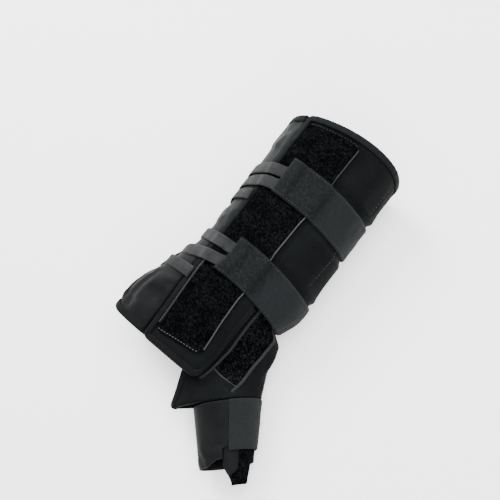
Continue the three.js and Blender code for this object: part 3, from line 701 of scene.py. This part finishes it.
def edgeLine(rows, shares, count=60):
    # run, turn, inward reach and whether laced, along one side of the sleeve's grid
    rows, shares = np.linspace(*rows, count), np.linspace(*shares, count)
    run, turn = sleeveGrid(rows, shares)
    notch = np.isin(shares, (1, 2)) * smooth(run, 2, 8)
    return np.stack([run, turn, mix(1, tape["narrowReach"], notch), shares == 0], -1)


root, length = splint["lowerStrap"] - tape["underStrap"], splint["length"]
sides = [
    edgeLine((root, 0), (1, 1)),
    edgeLine((0, 0), (1, 0)),
    edgeLine((0, length), (0, 0), 140),
    edgeLine((length, length), (0, 3), 180),
    edgeLine((length, 0), (3, 3), 140),
    edgeLine((0, 0), (3, 2)),
    edgeLine((0, root), (2, 2)),
]
route = np.concatenate([line[:-1] for line in sides[:-1]] + sides[-1:])
fine = evenPath(np.c_[onSleeve(route[:, 0], route[:, 1], 0), route], tape["spacing"])
run, turn, reach, laced = fine[:, 3:].T
at, up = surfaceLine(onSleeve, run, turn, 0)
place = np.arange(len(at)) * tape["spacing"]
pucker = tape["pucker"] * crumple(place, np.zeros(len(at)), tape["puckerSize"], tape["seed"])
profile = foldedTape(splint["wall"], splint["bindingRoom"], splint["bindingThick"], splint["bindingReach"])
pale = place[(laced > 0.5) & (run > splint["lowerStrap"])][[0, -1]].tolist()
makeTrim(
    "sleeve_edge_tape", at + up * pucker[:, None], up, profile, bindingCloth("sleeve_tape", pale),
    replaces=["sleeve_binding"], reach=reach,
)
for name, ends in (("between_straps", (104, 139)), ("forearm", (173, 199))):
    run = np.linspace(*ends, 80)
    sleeveStitches(
        f"sleeve_seam_{name}", run, seamLine(run), 0.12, edgeThread, "padded_laminate", share=0.6, radius=0.2
    )
print("sleeve made")

# The tongue, tucked under both laced edges and pressed flat under the laces
tongue = {
    "tuck": 11, "thick": 2.0, "inset": 0.2, "swell": 0.6, "sink": 0.4,
    "palmRise": (5.5, 10.5), "backRise": (1.6, 4.6),  # degrees past the tuck in which it rises
    "folds": 0.42, "foldSize": 10, "foldLean": 0.12, "foldRow": 0.1, "seed": 12, "growth": 0.026, "cap": 1.0,
    "lacesAt": (splint["lowerStrap"] - 12, splint["upperStrap"] - 13), "laceReach": (24, 32),
    "tapeReach": 4.2, "skip": 6,
}
tongueDeep = -splint["wall"] - splint["bindingRoom"] - splint["bindingThick"] - 2.6 * splint["gap"]
along, across = tables(150, 70)
row = mix(tongue["inset"], splint["length"] - tongue["inset"], along)
start, stop = ulnarEdge(row) - 360 - tongue["tuck"], laceEdge(row) + tongue["tuck"]
turn = mix(start, stop, across)
backward = smooth(across, 0.45, 0.55)
low, high = (tongue["tuck"] + mix(*pair, backward) for pair in zip(tongue["palmRise"], tongue["backRise"]))
rise = smooth(np.minimum(turn - start, stop - turn), low, high)
free = smooth(np.minimum(row, splint["length"] - row), 2, 12)
for middle in tongue["lacesAt"]:
    free = free * smooth(np.abs(row - middle), *tongue["laceReach"])
folds = crumple(
    (turn + tongue["foldLean"] * row) * perDegree, row * tongue["foldRow"], tongue["foldSize"], tongue["seed"]
)
lift = mix(tongueDeep, tongue["swell"] - tongue["sink"] * (1 - free), rise)
lift = lift + tongue["folds"] * folds * rise * free
run = curvedRun(row, turn)
held = (rise < 0.9) | (free < 0.5)
lift = lift + settleCloth("tongue_settling", onSleeve(run, turn, lift), held, tongue["growth"], tongue["cap"])
tonguePiece = makeLayer(
    "tongue_lining", onSleeve, run, turn, lift - tongue["thick"] / 2, tongue["thick"], (2, 2), lining,
    ["tongue"],
)
profile = foldedTape(tongue["thick"], 0.3, 0.7, tongue["tapeReach"])
for name, end, onward in (("knuckle", 0, -1), ("forearm", -1, 1)):
    shown = (end, slice(tongue["skip"], -tongue["skip"]))
    at, up = surfaceLine(onSleeve, run[shown], turn[shown], lift[shown], 1.2)
    makeTrim(f"tongue_tape_{name}_end", at[::onward], up[::onward], profile, binding)
print("tongue made")

# The pile panel on the back
panel = {
    "knuckleIn": (8, 14), "cuffIn": 5, "lift": 0.8, "thick": 1.8, "edgeThick": 0.5, "corner": 6,
    "tufts": 0.16, "seed": 5, "stitchRow": 1.6 / 190, "stitchSide": 1.6 / 47,
}
panelTop = panel["lift"] + panel["thick"]
panelX = splint["laceEdgeX"] + splint["bindingReach"] + 2 * splint["gap"]


def panelPoint(along, across):
    # run and turn on the panel: along 0 at the knuckle end, across 0 at the laced side, corners rounded
    along, across = np.broadcast_arrays(np.asarray(along, float), np.asarray(across, float))
    start, stop = mix(*panel["knuckleIn"], across), splint["length"] - panel["cuffIn"]
    row = mix(start, stop, along)
    low, high = turnAtX(row, panelX), panelEdge(row)
    turn = mix(low, high, across)
    for cornerRow, inward in ((start, 1), (stop, -1)):
        for edge, side in ((low, 1), (high, -1)):
            byRow, byTurn = roundCorner(row, turn, cornerRow, edge, panel["corner"])
            row, turn = row + inward * byRow, turn + side * byTurn
    return curvedRun(row, turn), turn


run, turn = panelPoint(*tables(190, 52))
edge = roundedEdges(190, 52, 2, 2)
tufts = panel["tufts"] * np.random.default_rng(panel["seed"]).normal(size=run.shape) * (edge > 0.99)
makeWall(
    "pile_panel", onSleeve(run, turn, mix(panel["lift"] + panel["edgeThick"], panelTop, edge) + tufts),
    onSleeve(run, turn, panel["lift"]), pile, ["back_pile_panel"],
)
across = np.linspace(panel["stitchSide"], 1 - panel["stitchSide"], 60)
for name, along, thread in (
    ("knuckle", panel["stitchRow"], paleThread),
    ("forearm", 1 - panel["stitchRow"], foldThread),
):
    sleeveStitches(
        f"panel_stitches_{name}_end", *panelPoint(along, across), panelTop + 0.05, thread, "loop_pile",
        pitch=2.6, share=0.7, radius=0.26,
    )

# Its long edges are turned under and oversewn, so they stand up as thin lines
for name, across, ends, width, thread in (
    ("thumb", 0.992, (0.03, 0.75), 1.05, edgeThread),
    ("forearm_thumb", 0.992, (0.75, 0.985), 1.0, foldThread),
    ("laced", 0.012, (0.03, 0.36), 1.5, foldThread),
):
    run, turn = panelPoint(np.linspace(*ends, 260), across)
    at = onSleeve(run, turn, panelTop - 0.2)
    line = evenPath(np.c_[at, unit(onSleeve(run, turn, panelTop + 1) - at)], 0.8)
    profile = weltProfile(width, 0.6)
    makeTrim(f"panel_edge_{name}_side", line[:, :3], unit(line[:, 3:]), profile, thread, "loop_pile")
print("panel made")

# Wrist straps, laces and keepers. A strap's runs are where its laces go, measured from its middle: the single
# lace's and the pulley lace's way out, as start, bend and end, and the pulley lace's way back.
straps = {
    "upper": {
        "run": splint["upperStrap"], "endX": -16.5, "single": [4.2, -7, -13.5], "out": [-6.6, -18.5, -26],
        "back": -25, "seed": 35,
    },
    "lower": {
        "run": splint["lowerStrap"], "endX": -12, "single": [4.8, 2.5, 1.5], "out": [-5.9, -14.5, -21.5],
        "back": -28, "seed": 35,
    },
}
strapLook = {"crumple": 0.12, "size": 16, "stitchIn": 1.6}
laces = {
    "width": 9.2, "thick": 1.2, "underStrap": 9, "bend": 5.4, "turn": 7, "room": 0.6, "lowLift": 1.75,
    "onTongue": 0.8, "farEase": (3, 14), "nearEase": (16, 2),
}
keepers = {"thick": 1.2, "turn": 38, "single": 12.6, "pulley": 22, "sewn": 0.68, "bulge": 0.5}
laceLift = panelTop + 2.2 * splint["gap"]
laceTurnLift = laces["lowLift"] + laces["room"] / 2


def laceOver(run, turn):
    # on the panel, then down to the laced edge's tape, down on the tongue, and up on the far edge's tape
    panelStart = turnAtX(run, panelX)
    low, high = ulnarEdge(run) - 360, laceEdge(run)
    farSide = smooth(turn, *(low + ease for ease in laces["farEase"]))
    nearSide = 1 - smooth(turn, *(high - ease for ease in laces["nearEase"]))
    onEdges = mix(laces["lowLift"], laces["onTongue"], farSide * nearSide)
    return mix(onEdges, laceLift, smooth(turn, panelStart - 9, panelStart - 1))


def strapLift(run, turn, start):
    # over the laces at its start, then on the panel, then down on the sleeve
    overLaces = 1 - smooth(turn, start + laces["underStrap"] + 1, start + laces["underStrap"] + 6)
    offPanel = smooth(turn, panelEdge(run) + 0.5, panelEdge(run) + 3.6)
    return mix(laceLift, splint["gap"], offPanel) + (laces["thick"] + 2 * splint["gap"]) * overLaces


def makeStrap(name, row):
    # a strap on its slant from its end on the back round the thumb side, with a stitch row along each edge
    start = float(turnAtX(row["run"], row["endX"]))
    across, turn = tables(25, 190, (-0.5, 0.5), (start, splint["strapEnd"]))
    run = row["run"] - strapDrop(row["run"], turn) + splint["strapWidth"] * across
    lift = strapLift(run, turn, start) + splint["strapThick"] / 2
    lift = lift + strapLook["crumple"] * crumple(turn * perDegree, run, strapLook["size"], row["seed"])
    makeLayer(
        f"{name}_wrist_strap", onSleeve, run, turn, lift, splint["strapThick"], (1.5, 2), webbing,
        [f"{name}_strap"],
    )
    turn = np.linspace(start + 1.5, splint["strapEnd"] - 2, 200)
    for side, towards in (("knuckle", -1), ("forearm", 1)):
        run = row["run"] - strapDrop(row["run"], turn)
        run = run + towards * (splint["strapWidth"] / 2 - strapLook["stitchIn"])
        top = strapLift(run, turn, start) + splint["strapThick"]
        sleeveStitches(
            f"{name}_strap_stitches_{side}_side", run, turn, top, darkThread, "strap_webbing",
            pitch=2.8, radius=0.2,
        )
    return start


def makeLace(name, route, replaces):
    # a flat tape along a route of [run, turn, lift], with rounded edges
    at, up = surfaceLine(onSleeve, *evenPath(route, 0.6).T, 1.0)
    side = unit(np.cross(unit(np.gradient(at, axis=0)), up))
    across = np.linspace(-0.5, 0.5, 13) * laces["width"]
    middle = at[:, None] + side[:, None] * across[None, :, None] + up[:, None] * laces["thick"] / 2
    half = up[:, None] * (laces["thick"] / 2 * roundedEdges(len(at), 13, 1, 2))[..., None]
    makeWall(name, middle + half, middle - half, laceTape, [replaces])


def makeKeeper(name, run, width, replaces):
    # a folded tab over a lace's end or turn, bulging over it and sewn down past the laced edge
    across, along = tables(17, 36, (-0.5, 0.5))
    high = laces["lowLift"] + laces["thick"] + laces["room"]
    lift = mix(high, splint["gap"], smooth(along, keepers["sewn"], 1)) + keepers["thick"] / 2
    lift = lift + keepers["bulge"] * np.cos(np.pi * across) * (1 - smooth(along, 0.5, 1))
    turn = ulnarEdge(run) - 360 - 1 - keepers["turn"] * along
    run = run + width * across
    makeLayer(name, onSleeve, run, turn, lift, keepers["thick"], (2, 2), laminate, [replaces])


def laceWay(runs, start, stop, far):
    # a lace's way out from under the strap: a curve through its three runs, on the panel, tapes and tongue
    middle = mix(mix(runs[0], runs[1], far), mix(runs[1], runs[2], far), far)
    turn = mix(start, stop, far)
    rise = laces["room"] / 2 * smooth(far, 0.6, 0.9)
    return np.stack([middle, turn, laceOver(mix(runs[0], runs[2], far), turn) + rise], -1)


far = np.linspace(0, 1, 40)
for name, row in straps.items():
    start = makeStrap(name, row) + laces["underStrap"] - 1
    single, out = (np.array(row[key]) + row["run"] for key in ("single", "out"))
    singleTip, tip = (float(ulnarEdge(runs[2])) - 360 - laces["turn"] for runs in (single, out))
    bendRun = out[2] - laces["bend"]
    degree = np.linalg.norm(onSleeve(bendRun, tip, 0) - onSleeve(bendRun, tip - 1, 0))
    angle = np.radians(np.linspace(10, 170, 24))
    bend = [bendRun + laces["bend"] * np.cos(angle), tip - laces["bend"] * np.sin(angle) / degree]
    bend = np.stack([*bend, np.full(24, laceTurnLift)], -1)
    home = row["run"] + row["back"]
    run, turn = mix(bendRun - laces["bend"], home, far), mix(tip, float(laceEdge(home)) + 2, far)
    lift = mix(laceTurnLift, np.minimum(laceOver(run, turn), laces["lowLift"]), smooth(far, 0.05, 0.3))
    back = np.stack([run, turn, lift], -1)
    makeLace(f"{name}_lace_to_keeper", laceWay(single, start, singleTip, far), f"{name}_lace_single")
    route = np.r_[laceWay(out, start, tip, far), bend, back]
    makeLace(f"{name}_lace_round_keeper", route, f"{name}_lace_pulley")
    makeKeeper(f"{name}_end_keeper", single[2], keepers["single"], f"{name}_keeper_single")
    makeKeeper(f"{name}_turn_keeper", bendRun, keepers["pulley"], f"{name}_keeper_pulley")
print("straps and laces made")

# The thumb's own surface, and the gauntlet's from the notch's root to it
thumb = {
    "x": 46.1, "run": -1.3, "turn": 40, "halfWidth": 27, "halfHeight": 18.5, "skew": 2.6, "taper": 0.105,
    "wall": 3.5, "webTurn": 173, "tuck": 12, "pinch": 0.5, "start": -0.6,
}
gauntletTable = {
    "at": [0, 0.28, 0.5, 0.75, 0.87, 0.94, 1],
    "x": [0.02, 0.12, 0.31, 0.54, 0.69, 0.78, 0.861],
    "run": [1.06, 0.77, 0.48, 0.2, 0.08, 0.01, -0.058],
    "width": [1.5, 1.56, 1.43, 1.3, 1.28, 1.275, 1.27],
    "height": [1.12, 1.0, 0.98, 0.97, 0.98, 0.99, 1],
    "lift": [1.45, 1.15, 1.06, 1.03, 1.01, 1, 1],
    "lie": [0, 0.14, 0.43, 0.75, 0.93, 1.03, 1.13],
    "open": [0.62, 0.45, 0.09, -0.24, -0.45, -0.63, -1],
}


def onThumb(far, around, lift):
    # tapering oval about the thumb's line, leaning a little to the first finger, never under the rest plane
    far, around, lift = np.broadcast_arrays(*(np.asarray(v, float) for v in (far, around, lift)))
    angle, lie = np.radians(around), np.radians(thumb["turn"])
    shrink = thumb["taper"] * np.maximum(far, 0)
    rise = thumb["halfHeight"] - shrink * 0.7
    out = far - thumb["skew"] * np.cos(angle)
    side = (thumb["halfWidth"] - shrink + lift) * np.cos(angle)
    x = thumb["x"] + np.sin(lie) * out + np.cos(lie) * side
    y = thumb["run"] - splint["restRun"] - np.cos(lie) * out + np.sin(lie) * side
    return np.stack([x, y, np.maximum(rise + (rise + lift) * np.sin(angle), -lift)], -1)


def onGauntlet(at, across, lift):
    # ovals from the notch's root to the thumb, blended at their edges with points tucked under the sleeve
    at, across, lift = np.broadcast_arrays(*(np.asarray(v, float) for v in (at, across, lift)))
    value = {name: column(gauntletTable, name, at) for name in gauntletTable if name != "at"}
    lie = np.radians(thumb["turn"] * value["lie"])
    half, rise = thumb["halfWidth"] * value["width"], thumb["halfHeight"] * value["height"]
    limit = np.minimum(np.degrees(np.arccos(np.maximum(value["open"], -1))), thumb["webTurn"])
    around = np.radians(across * limit)
    rise = rise * (1 - thumb["pinch"] * smooth(at, 0.5, 1) * ((1 - np.cos(around)) / 2) ** 1.5)
    out = unit(np.stack([np.cos(around) / half, np.sin(around) / rise], -1))
    run = splint["notchRun"] * value["run"]
    reach = half * np.cos(around) + out[..., 0] * lift
    high = thumb["halfHeight"] * value["lift"] + rise * np.sin(around) + out[..., 1] * lift
    x, y = thumb["x"] * value["x"] + np.cos(lie) * reach, run - splint["restRun"] + np.sin(lie) * reach
    free = np.stack([x, y, np.maximum(high, -lift)], -1)
    turn = mix(notchEdge(run) - thumb["tuck"], splint["notchPalmTurn"] + thumb["tuck"], (1 - across) / 2)
    tucked = onSleeve(run, turn, lift + tongueDeep)
    edge = smooth(np.abs(across), 0.3, 0.75) * (1 - smooth(at, 0.955, 1))
    share = smooth(at, 0.24, 0.5) * (1 - edge)
    return mix(tucked, free, share[..., None])


# The padded gauntlet
gauntlet = {"folds": 0.35, "foldSize": 17, "wide": 46, "long": 60, "seed": 21, "growth": 0.03, "cap": 0.8}
at, across = tables(100, 150, over=(1, -1))
webward = smooth(at, 0.45, 1) * smooth(np.abs(across), 0.25, 0.9)
free = smooth(at, 0.2, 0.5) * (1 - smooth(np.abs(across), 0.45, 0.8) * (1 - smooth(at, 0.9, 1)))
folds = crumple(across * gauntlet["wide"], at * gauntlet["long"], gauntlet["foldSize"], gauntlet["seed"])
lift = gauntlet["folds"] * folds * (0.25 + 0.75 * webward) * free * (1 - 0.8 * smooth(at, 0.94, 1))
held = (free < 0.4) | (at < 0.3) | (at > 0.97)
settled = settleCloth(
    "gauntlet_settling", onGauntlet(at, across, lift), held, gauntlet["growth"], gauntlet["cap"]
)
padLift = lift + settled
gauntletPad = makeWall(
    "gauntlet_pad", onGauntlet(at, across, padLift), onGauntlet(at, across, padLift * 0.5 - thumb["wall"]),
    laminate, ["thumb_gauntlet"],
)


def overGauntlet(at, across, lift):
    # a point at a lift over the padded gauntlet, with its folds
    return onGauntlet(at, across, sampleField(padLift, at, (1 - across) / 2) + lift)


# Its pile patch lies between two pale edges that run down to the thumb, and ends short of the web
patch = {
    "lineAt": [0.2, 0.286, 0.398, 0.498, 0.622, 0.722, 0.826, 0.911, 0.94],
    "nearSleeve": [0.75, 0.721, 0.688, 0.643, 0.593, 0.593, 0.61, 0.638, 0.66],
    "outerAt": [0.2, 0.359, 0.494, 0.629, 0.78, 0.911, 0.973],
    "outer": [0.16, 0.242, 0.32, 0.337, 0.365, 0.393, 0.404],
    "startAt": 0.22, "endAt": (0.935, 0.815), "endAcross": (0.4, 0.61), "lift": 0.7, "tufts": 0.13, "seed": 6,
}
along, over = tables(110, 44)
at = mix(patch["startAt"], mix(*patch["endAt"], over), along)
low = np.interp(at, patch["outerAt"], patch["outer"]) + 0.02
high = np.interp(at, patch["lineAt"], patch["nearSleeve"]) - 0.015
across = mix(low, high, over)
edge = roundedEdges(110, 44, 2, 2)
tufts = patch["tufts"] * np.random.default_rng(patch["seed"]).normal(size=at.shape) * (edge > 0.99)
makeWall(
    "gauntlet_pile_patch", overGauntlet(at, across, mix(0.1, patch["lift"], edge) + tufts),
    overGauntlet(at, across, -0.4), paintedLightPatchPile,
)
ends = np.linspace(0.02, 0.98, 12)
for name, at, across, width, high, cloth, lift in (
    ("edge_near_sleeve", patch["lineAt"], patch["nearSleeve"], 2.4, 0.9, edgeTape, 0.1),
    ("edge_outer", patch["outerAt"], patch["outer"], 2.2, 0.8, edgeTape, 0.1),
    ("patch_end", mix(*patch["endAt"], ends), mix(*patch["endAcross"], ends), 1.3, 0.5, darkThread, 0.15),
):
    at, across = evenPath(np.c_[np.asarray(at) * 100, np.asarray(across) * 40], 0.5).T
    line = surfaceLine(overGauntlet, at / 100, across / 40, lift, 1.0)
    makeTrim(f"gauntlet_{name}", *line, weltProfile(width, high), cloth)
profile = foldedTape(thumb["wall"], 0.25, 0.7, 3.0)
for name, side in (("back", 1), ("palm", -1)):
    at, up = surfaceLine(overGauntlet, np.linspace(0.9, 0.998, 30), np.full(30, float(side)), 0, 1.0)
    makeTrim(f"web_tape_{name}", at[::side], up[::side], profile, binding)
print("gauntlet made")

# The stay flap along the thumb: its left side is covered by a smooth fold, which shows past the strap
stay = {
    "wall": 3.6, "length": 60, "tuck": 8, "turn": 30, "half": 48, "tipHalf": 20, "tipSpan": 26,
    "foldHalf": (58, 36), "foldSpan": (44, 60), "foldThick": 1.5, "foldLift": 1.15, "foldStop": 49,
}
sleeveDepth = -splint["strapThick"] - splint["gap"]  # of the soft sleeve's outside, under the strap's


def foldEdge(far):
    # half turn of the flap's left side: it narrows towards the tip
    return mix(*stay["foldHalf"], smooth(far, *stay["foldSpan"]))


along, across = tables(100, 61, over=(-1, 1))
far = mix(-stay["tuck"], stay["length"], along)
tipIn = smooth(far, stay["length"] - stay["tipSpan"], stay["length"])
half = np.where(across < 0, foldEdge(far), mix(stay["half"], stay["tipHalf"], tipIn))
softWall = 1.6
lift = sleeveDepth - softWall - splint["gap"] - 4.2 * (1 - smooth(far, 2, 16)) - stay["wall"] / 2
stayFlap = makeLayer(
    "stay_flap", onThumb, far, stay["turn"] - half * across, lift, stay["wall"], (3, 3), pile,
    ["thumb_stay_flap"],
)
along, across = tables(46, 30)
far = mix(26, 54, along) - 5 * across * along
around = mix(stay["turn"] + foldEdge(far) + 0.5, stay["foldStop"], across)
lift = lift.max() + stay["foldLift"] + 0.5 * np.sin(np.pi * across) ** 2 * smooth(far, 34, 42)
makeLayer(
    "stay_flap_fold", onThumb, far, around, lift, stay["foldThick"], (3, 4), thumbLining
)

# The soft sleeve round the thumb, cut back past the strap and hemmed higher on the first finger's side
soft = {
    "length": 45, "wall": softWall, "lap": 14, "cutBack": 24, "cutAt": (0.74, 0.84), "hem": 4.6,
    "hemTurn": (128, 96), "wrinkles": 0.22, "wrinkleSize": 12, "seed": 40, "flat": (0.112, 0.044),
}
along, across = tables(70, 160)
low = stay["turn"] + stay["half"] - soft["lap"] + soft["cutBack"] * smooth(along, *soft["cutAt"])
high = stay["turn"] - stay["half"] + soft["lap"] + 360
around = mix(low, high, across)
far = mix(thumb["start"], soft["length"] - soft["hem"] * smooth(around, *soft["hemTurn"]), along)
wrinkles = crumple(around * 0.35, far, soft["wrinkleSize"], soft["seed"]) * smooth(along, 0.5, 0.9)
lift = sleeveDepth - soft["wall"] / 2 + soft["wrinkles"] * wrinkles
softSleeve = makeLayer(
    "thumb_soft_sleeve", onThumb, far, around, lift, soft["wall"], (2, 2), thumbLining,
    ["thumb_sleeve"],
)

# The strap round the root of the thumb
band = {"width": 36, "start": 75, "end": -150, "crumple": 0.1, "size": 14, "seed": 44}
far, around = tables(44, 170, (thumb["start"], thumb["start"] + band["width"]), (band["start"], band["end"]))
lift = band["crumple"] * crumple(around * 0.4, far, band["size"], band["seed"]) - splint["strapThick"] / 2
makeLayer(
    "thumb_band", onThumb, far, around, lift, splint["strapThick"], (2, 2), thumbWebbing,
    ["thumb_strap"],
)
print("thumb made")

# The camera stands over the back of the wrist and is rolled so that the knuckles point down to the left
shot = {
    "aim": (-14, -22.5, 28), "lean": 22, "tip": 5, "roll": 50.4, "distance": 760,
    "scale": 0.762,  # millimetres for each of the picture's 500 pixels
    "sensor": 36,
}
lean, tip, spin = (np.radians(shot[key]) for key in ("lean", "tip", "roll"))
toCamera = np.array([np.sin(lean) * np.cos(tip), -np.sin(tip), np.cos(lean) * np.cos(tip)])
knuckleWay = np.array([0.0, -1, 0])
toKnuckles = unit(knuckleWay - np.dot(knuckleWay, toCamera) * toCamera)
toThumb = np.cross(toCamera, toKnuckles)
toThumb = toThumb * np.sign(toThumb[0])
right = -np.cos(spin) * toKnuckles + np.sin(spin) * toThumb
down = np.sin(spin) * toKnuckles + np.cos(spin) * toThumb
eye = (np.array(shot["aim"]) + shot["distance"] * toCamera) * 0.001
lens = bpy.data.cameras.new("studio_camera")
lens.sensor_width = shot["sensor"]
lens.lens = shot["sensor"] * shot["distance"] / shot["scale"] / 500
camera = bpy.data.objects.new("studio_camera", lens)
turned = Matrix(np.stack([right, -down, toCamera], -1).tolist()).to_4x4()
camera.matrix_world = Matrix.Translation(Vector(eye.tolist())) @ turned
bpy.context.scene.collection.objects.link(camera)
bpy.context.scene.camera = camera


def makeFloor(reach=3):
    # a wide pale table top
    mesh = bpy.data.meshes.new("table_top")
    corners = [(-reach, -reach, 0), (reach, -reach, 0), (reach, reach, 0), (-reach, reach, 0)]
    mesh.from_pydata(corners, [], [(0, 1, 2, 3)])
    cloth = Cloth("pale_paper", Specular_IOR_Level=0.1, Emission_Color=(1, 1, 1, 1), Emission_Strength=0.7)
    tone = cloth.grain(400, 2)
    mesh.materials.append(cloth.finish((0.86, 0.86, 0.86), (0.9, 0.9, 0.9), tone, 0.9, tone, 0.01))
    floor = bpy.data.objects.new("table_top", mesh)
    bpy.context.scene.collection.objects.link(floor)


def makeLight(name, place, size, power, target=(0, -0.02, 0.03)):
    # a square soft light that faces the splint
    data = bpy.data.lights.new(name, "AREA")
    data.size, data.energy = size, power
    light = bpy.data.objects.new(name, data)
    light.location = place
    light.rotation_mode = "QUATERNION"
    light.rotation_quaternion = (Vector(target) - Vector(place)).to_track_quat("-Z", "Y")
    bpy.context.scene.collection.objects.link(light)


makeFloor()
makeLight("key_light", (-0.9, 0.35, 0.9), 0.6, 30)
makeLight("top_light", (0.15, 0.5, 1.3), 1.1, 30)
makeLight("fill_light", (0.9, -0.6, 0.9), 0.9, 11)
world = bpy.data.worlds.new("studio_air")
world.use_nodes = True
air = world.node_tree.nodes["Background"]
air.inputs["Color"].default_value = (1, 1, 1, 1)
air.inputs["Strength"].default_value = 1.3
bpy.context.scene.world = world
print("camera and light made")
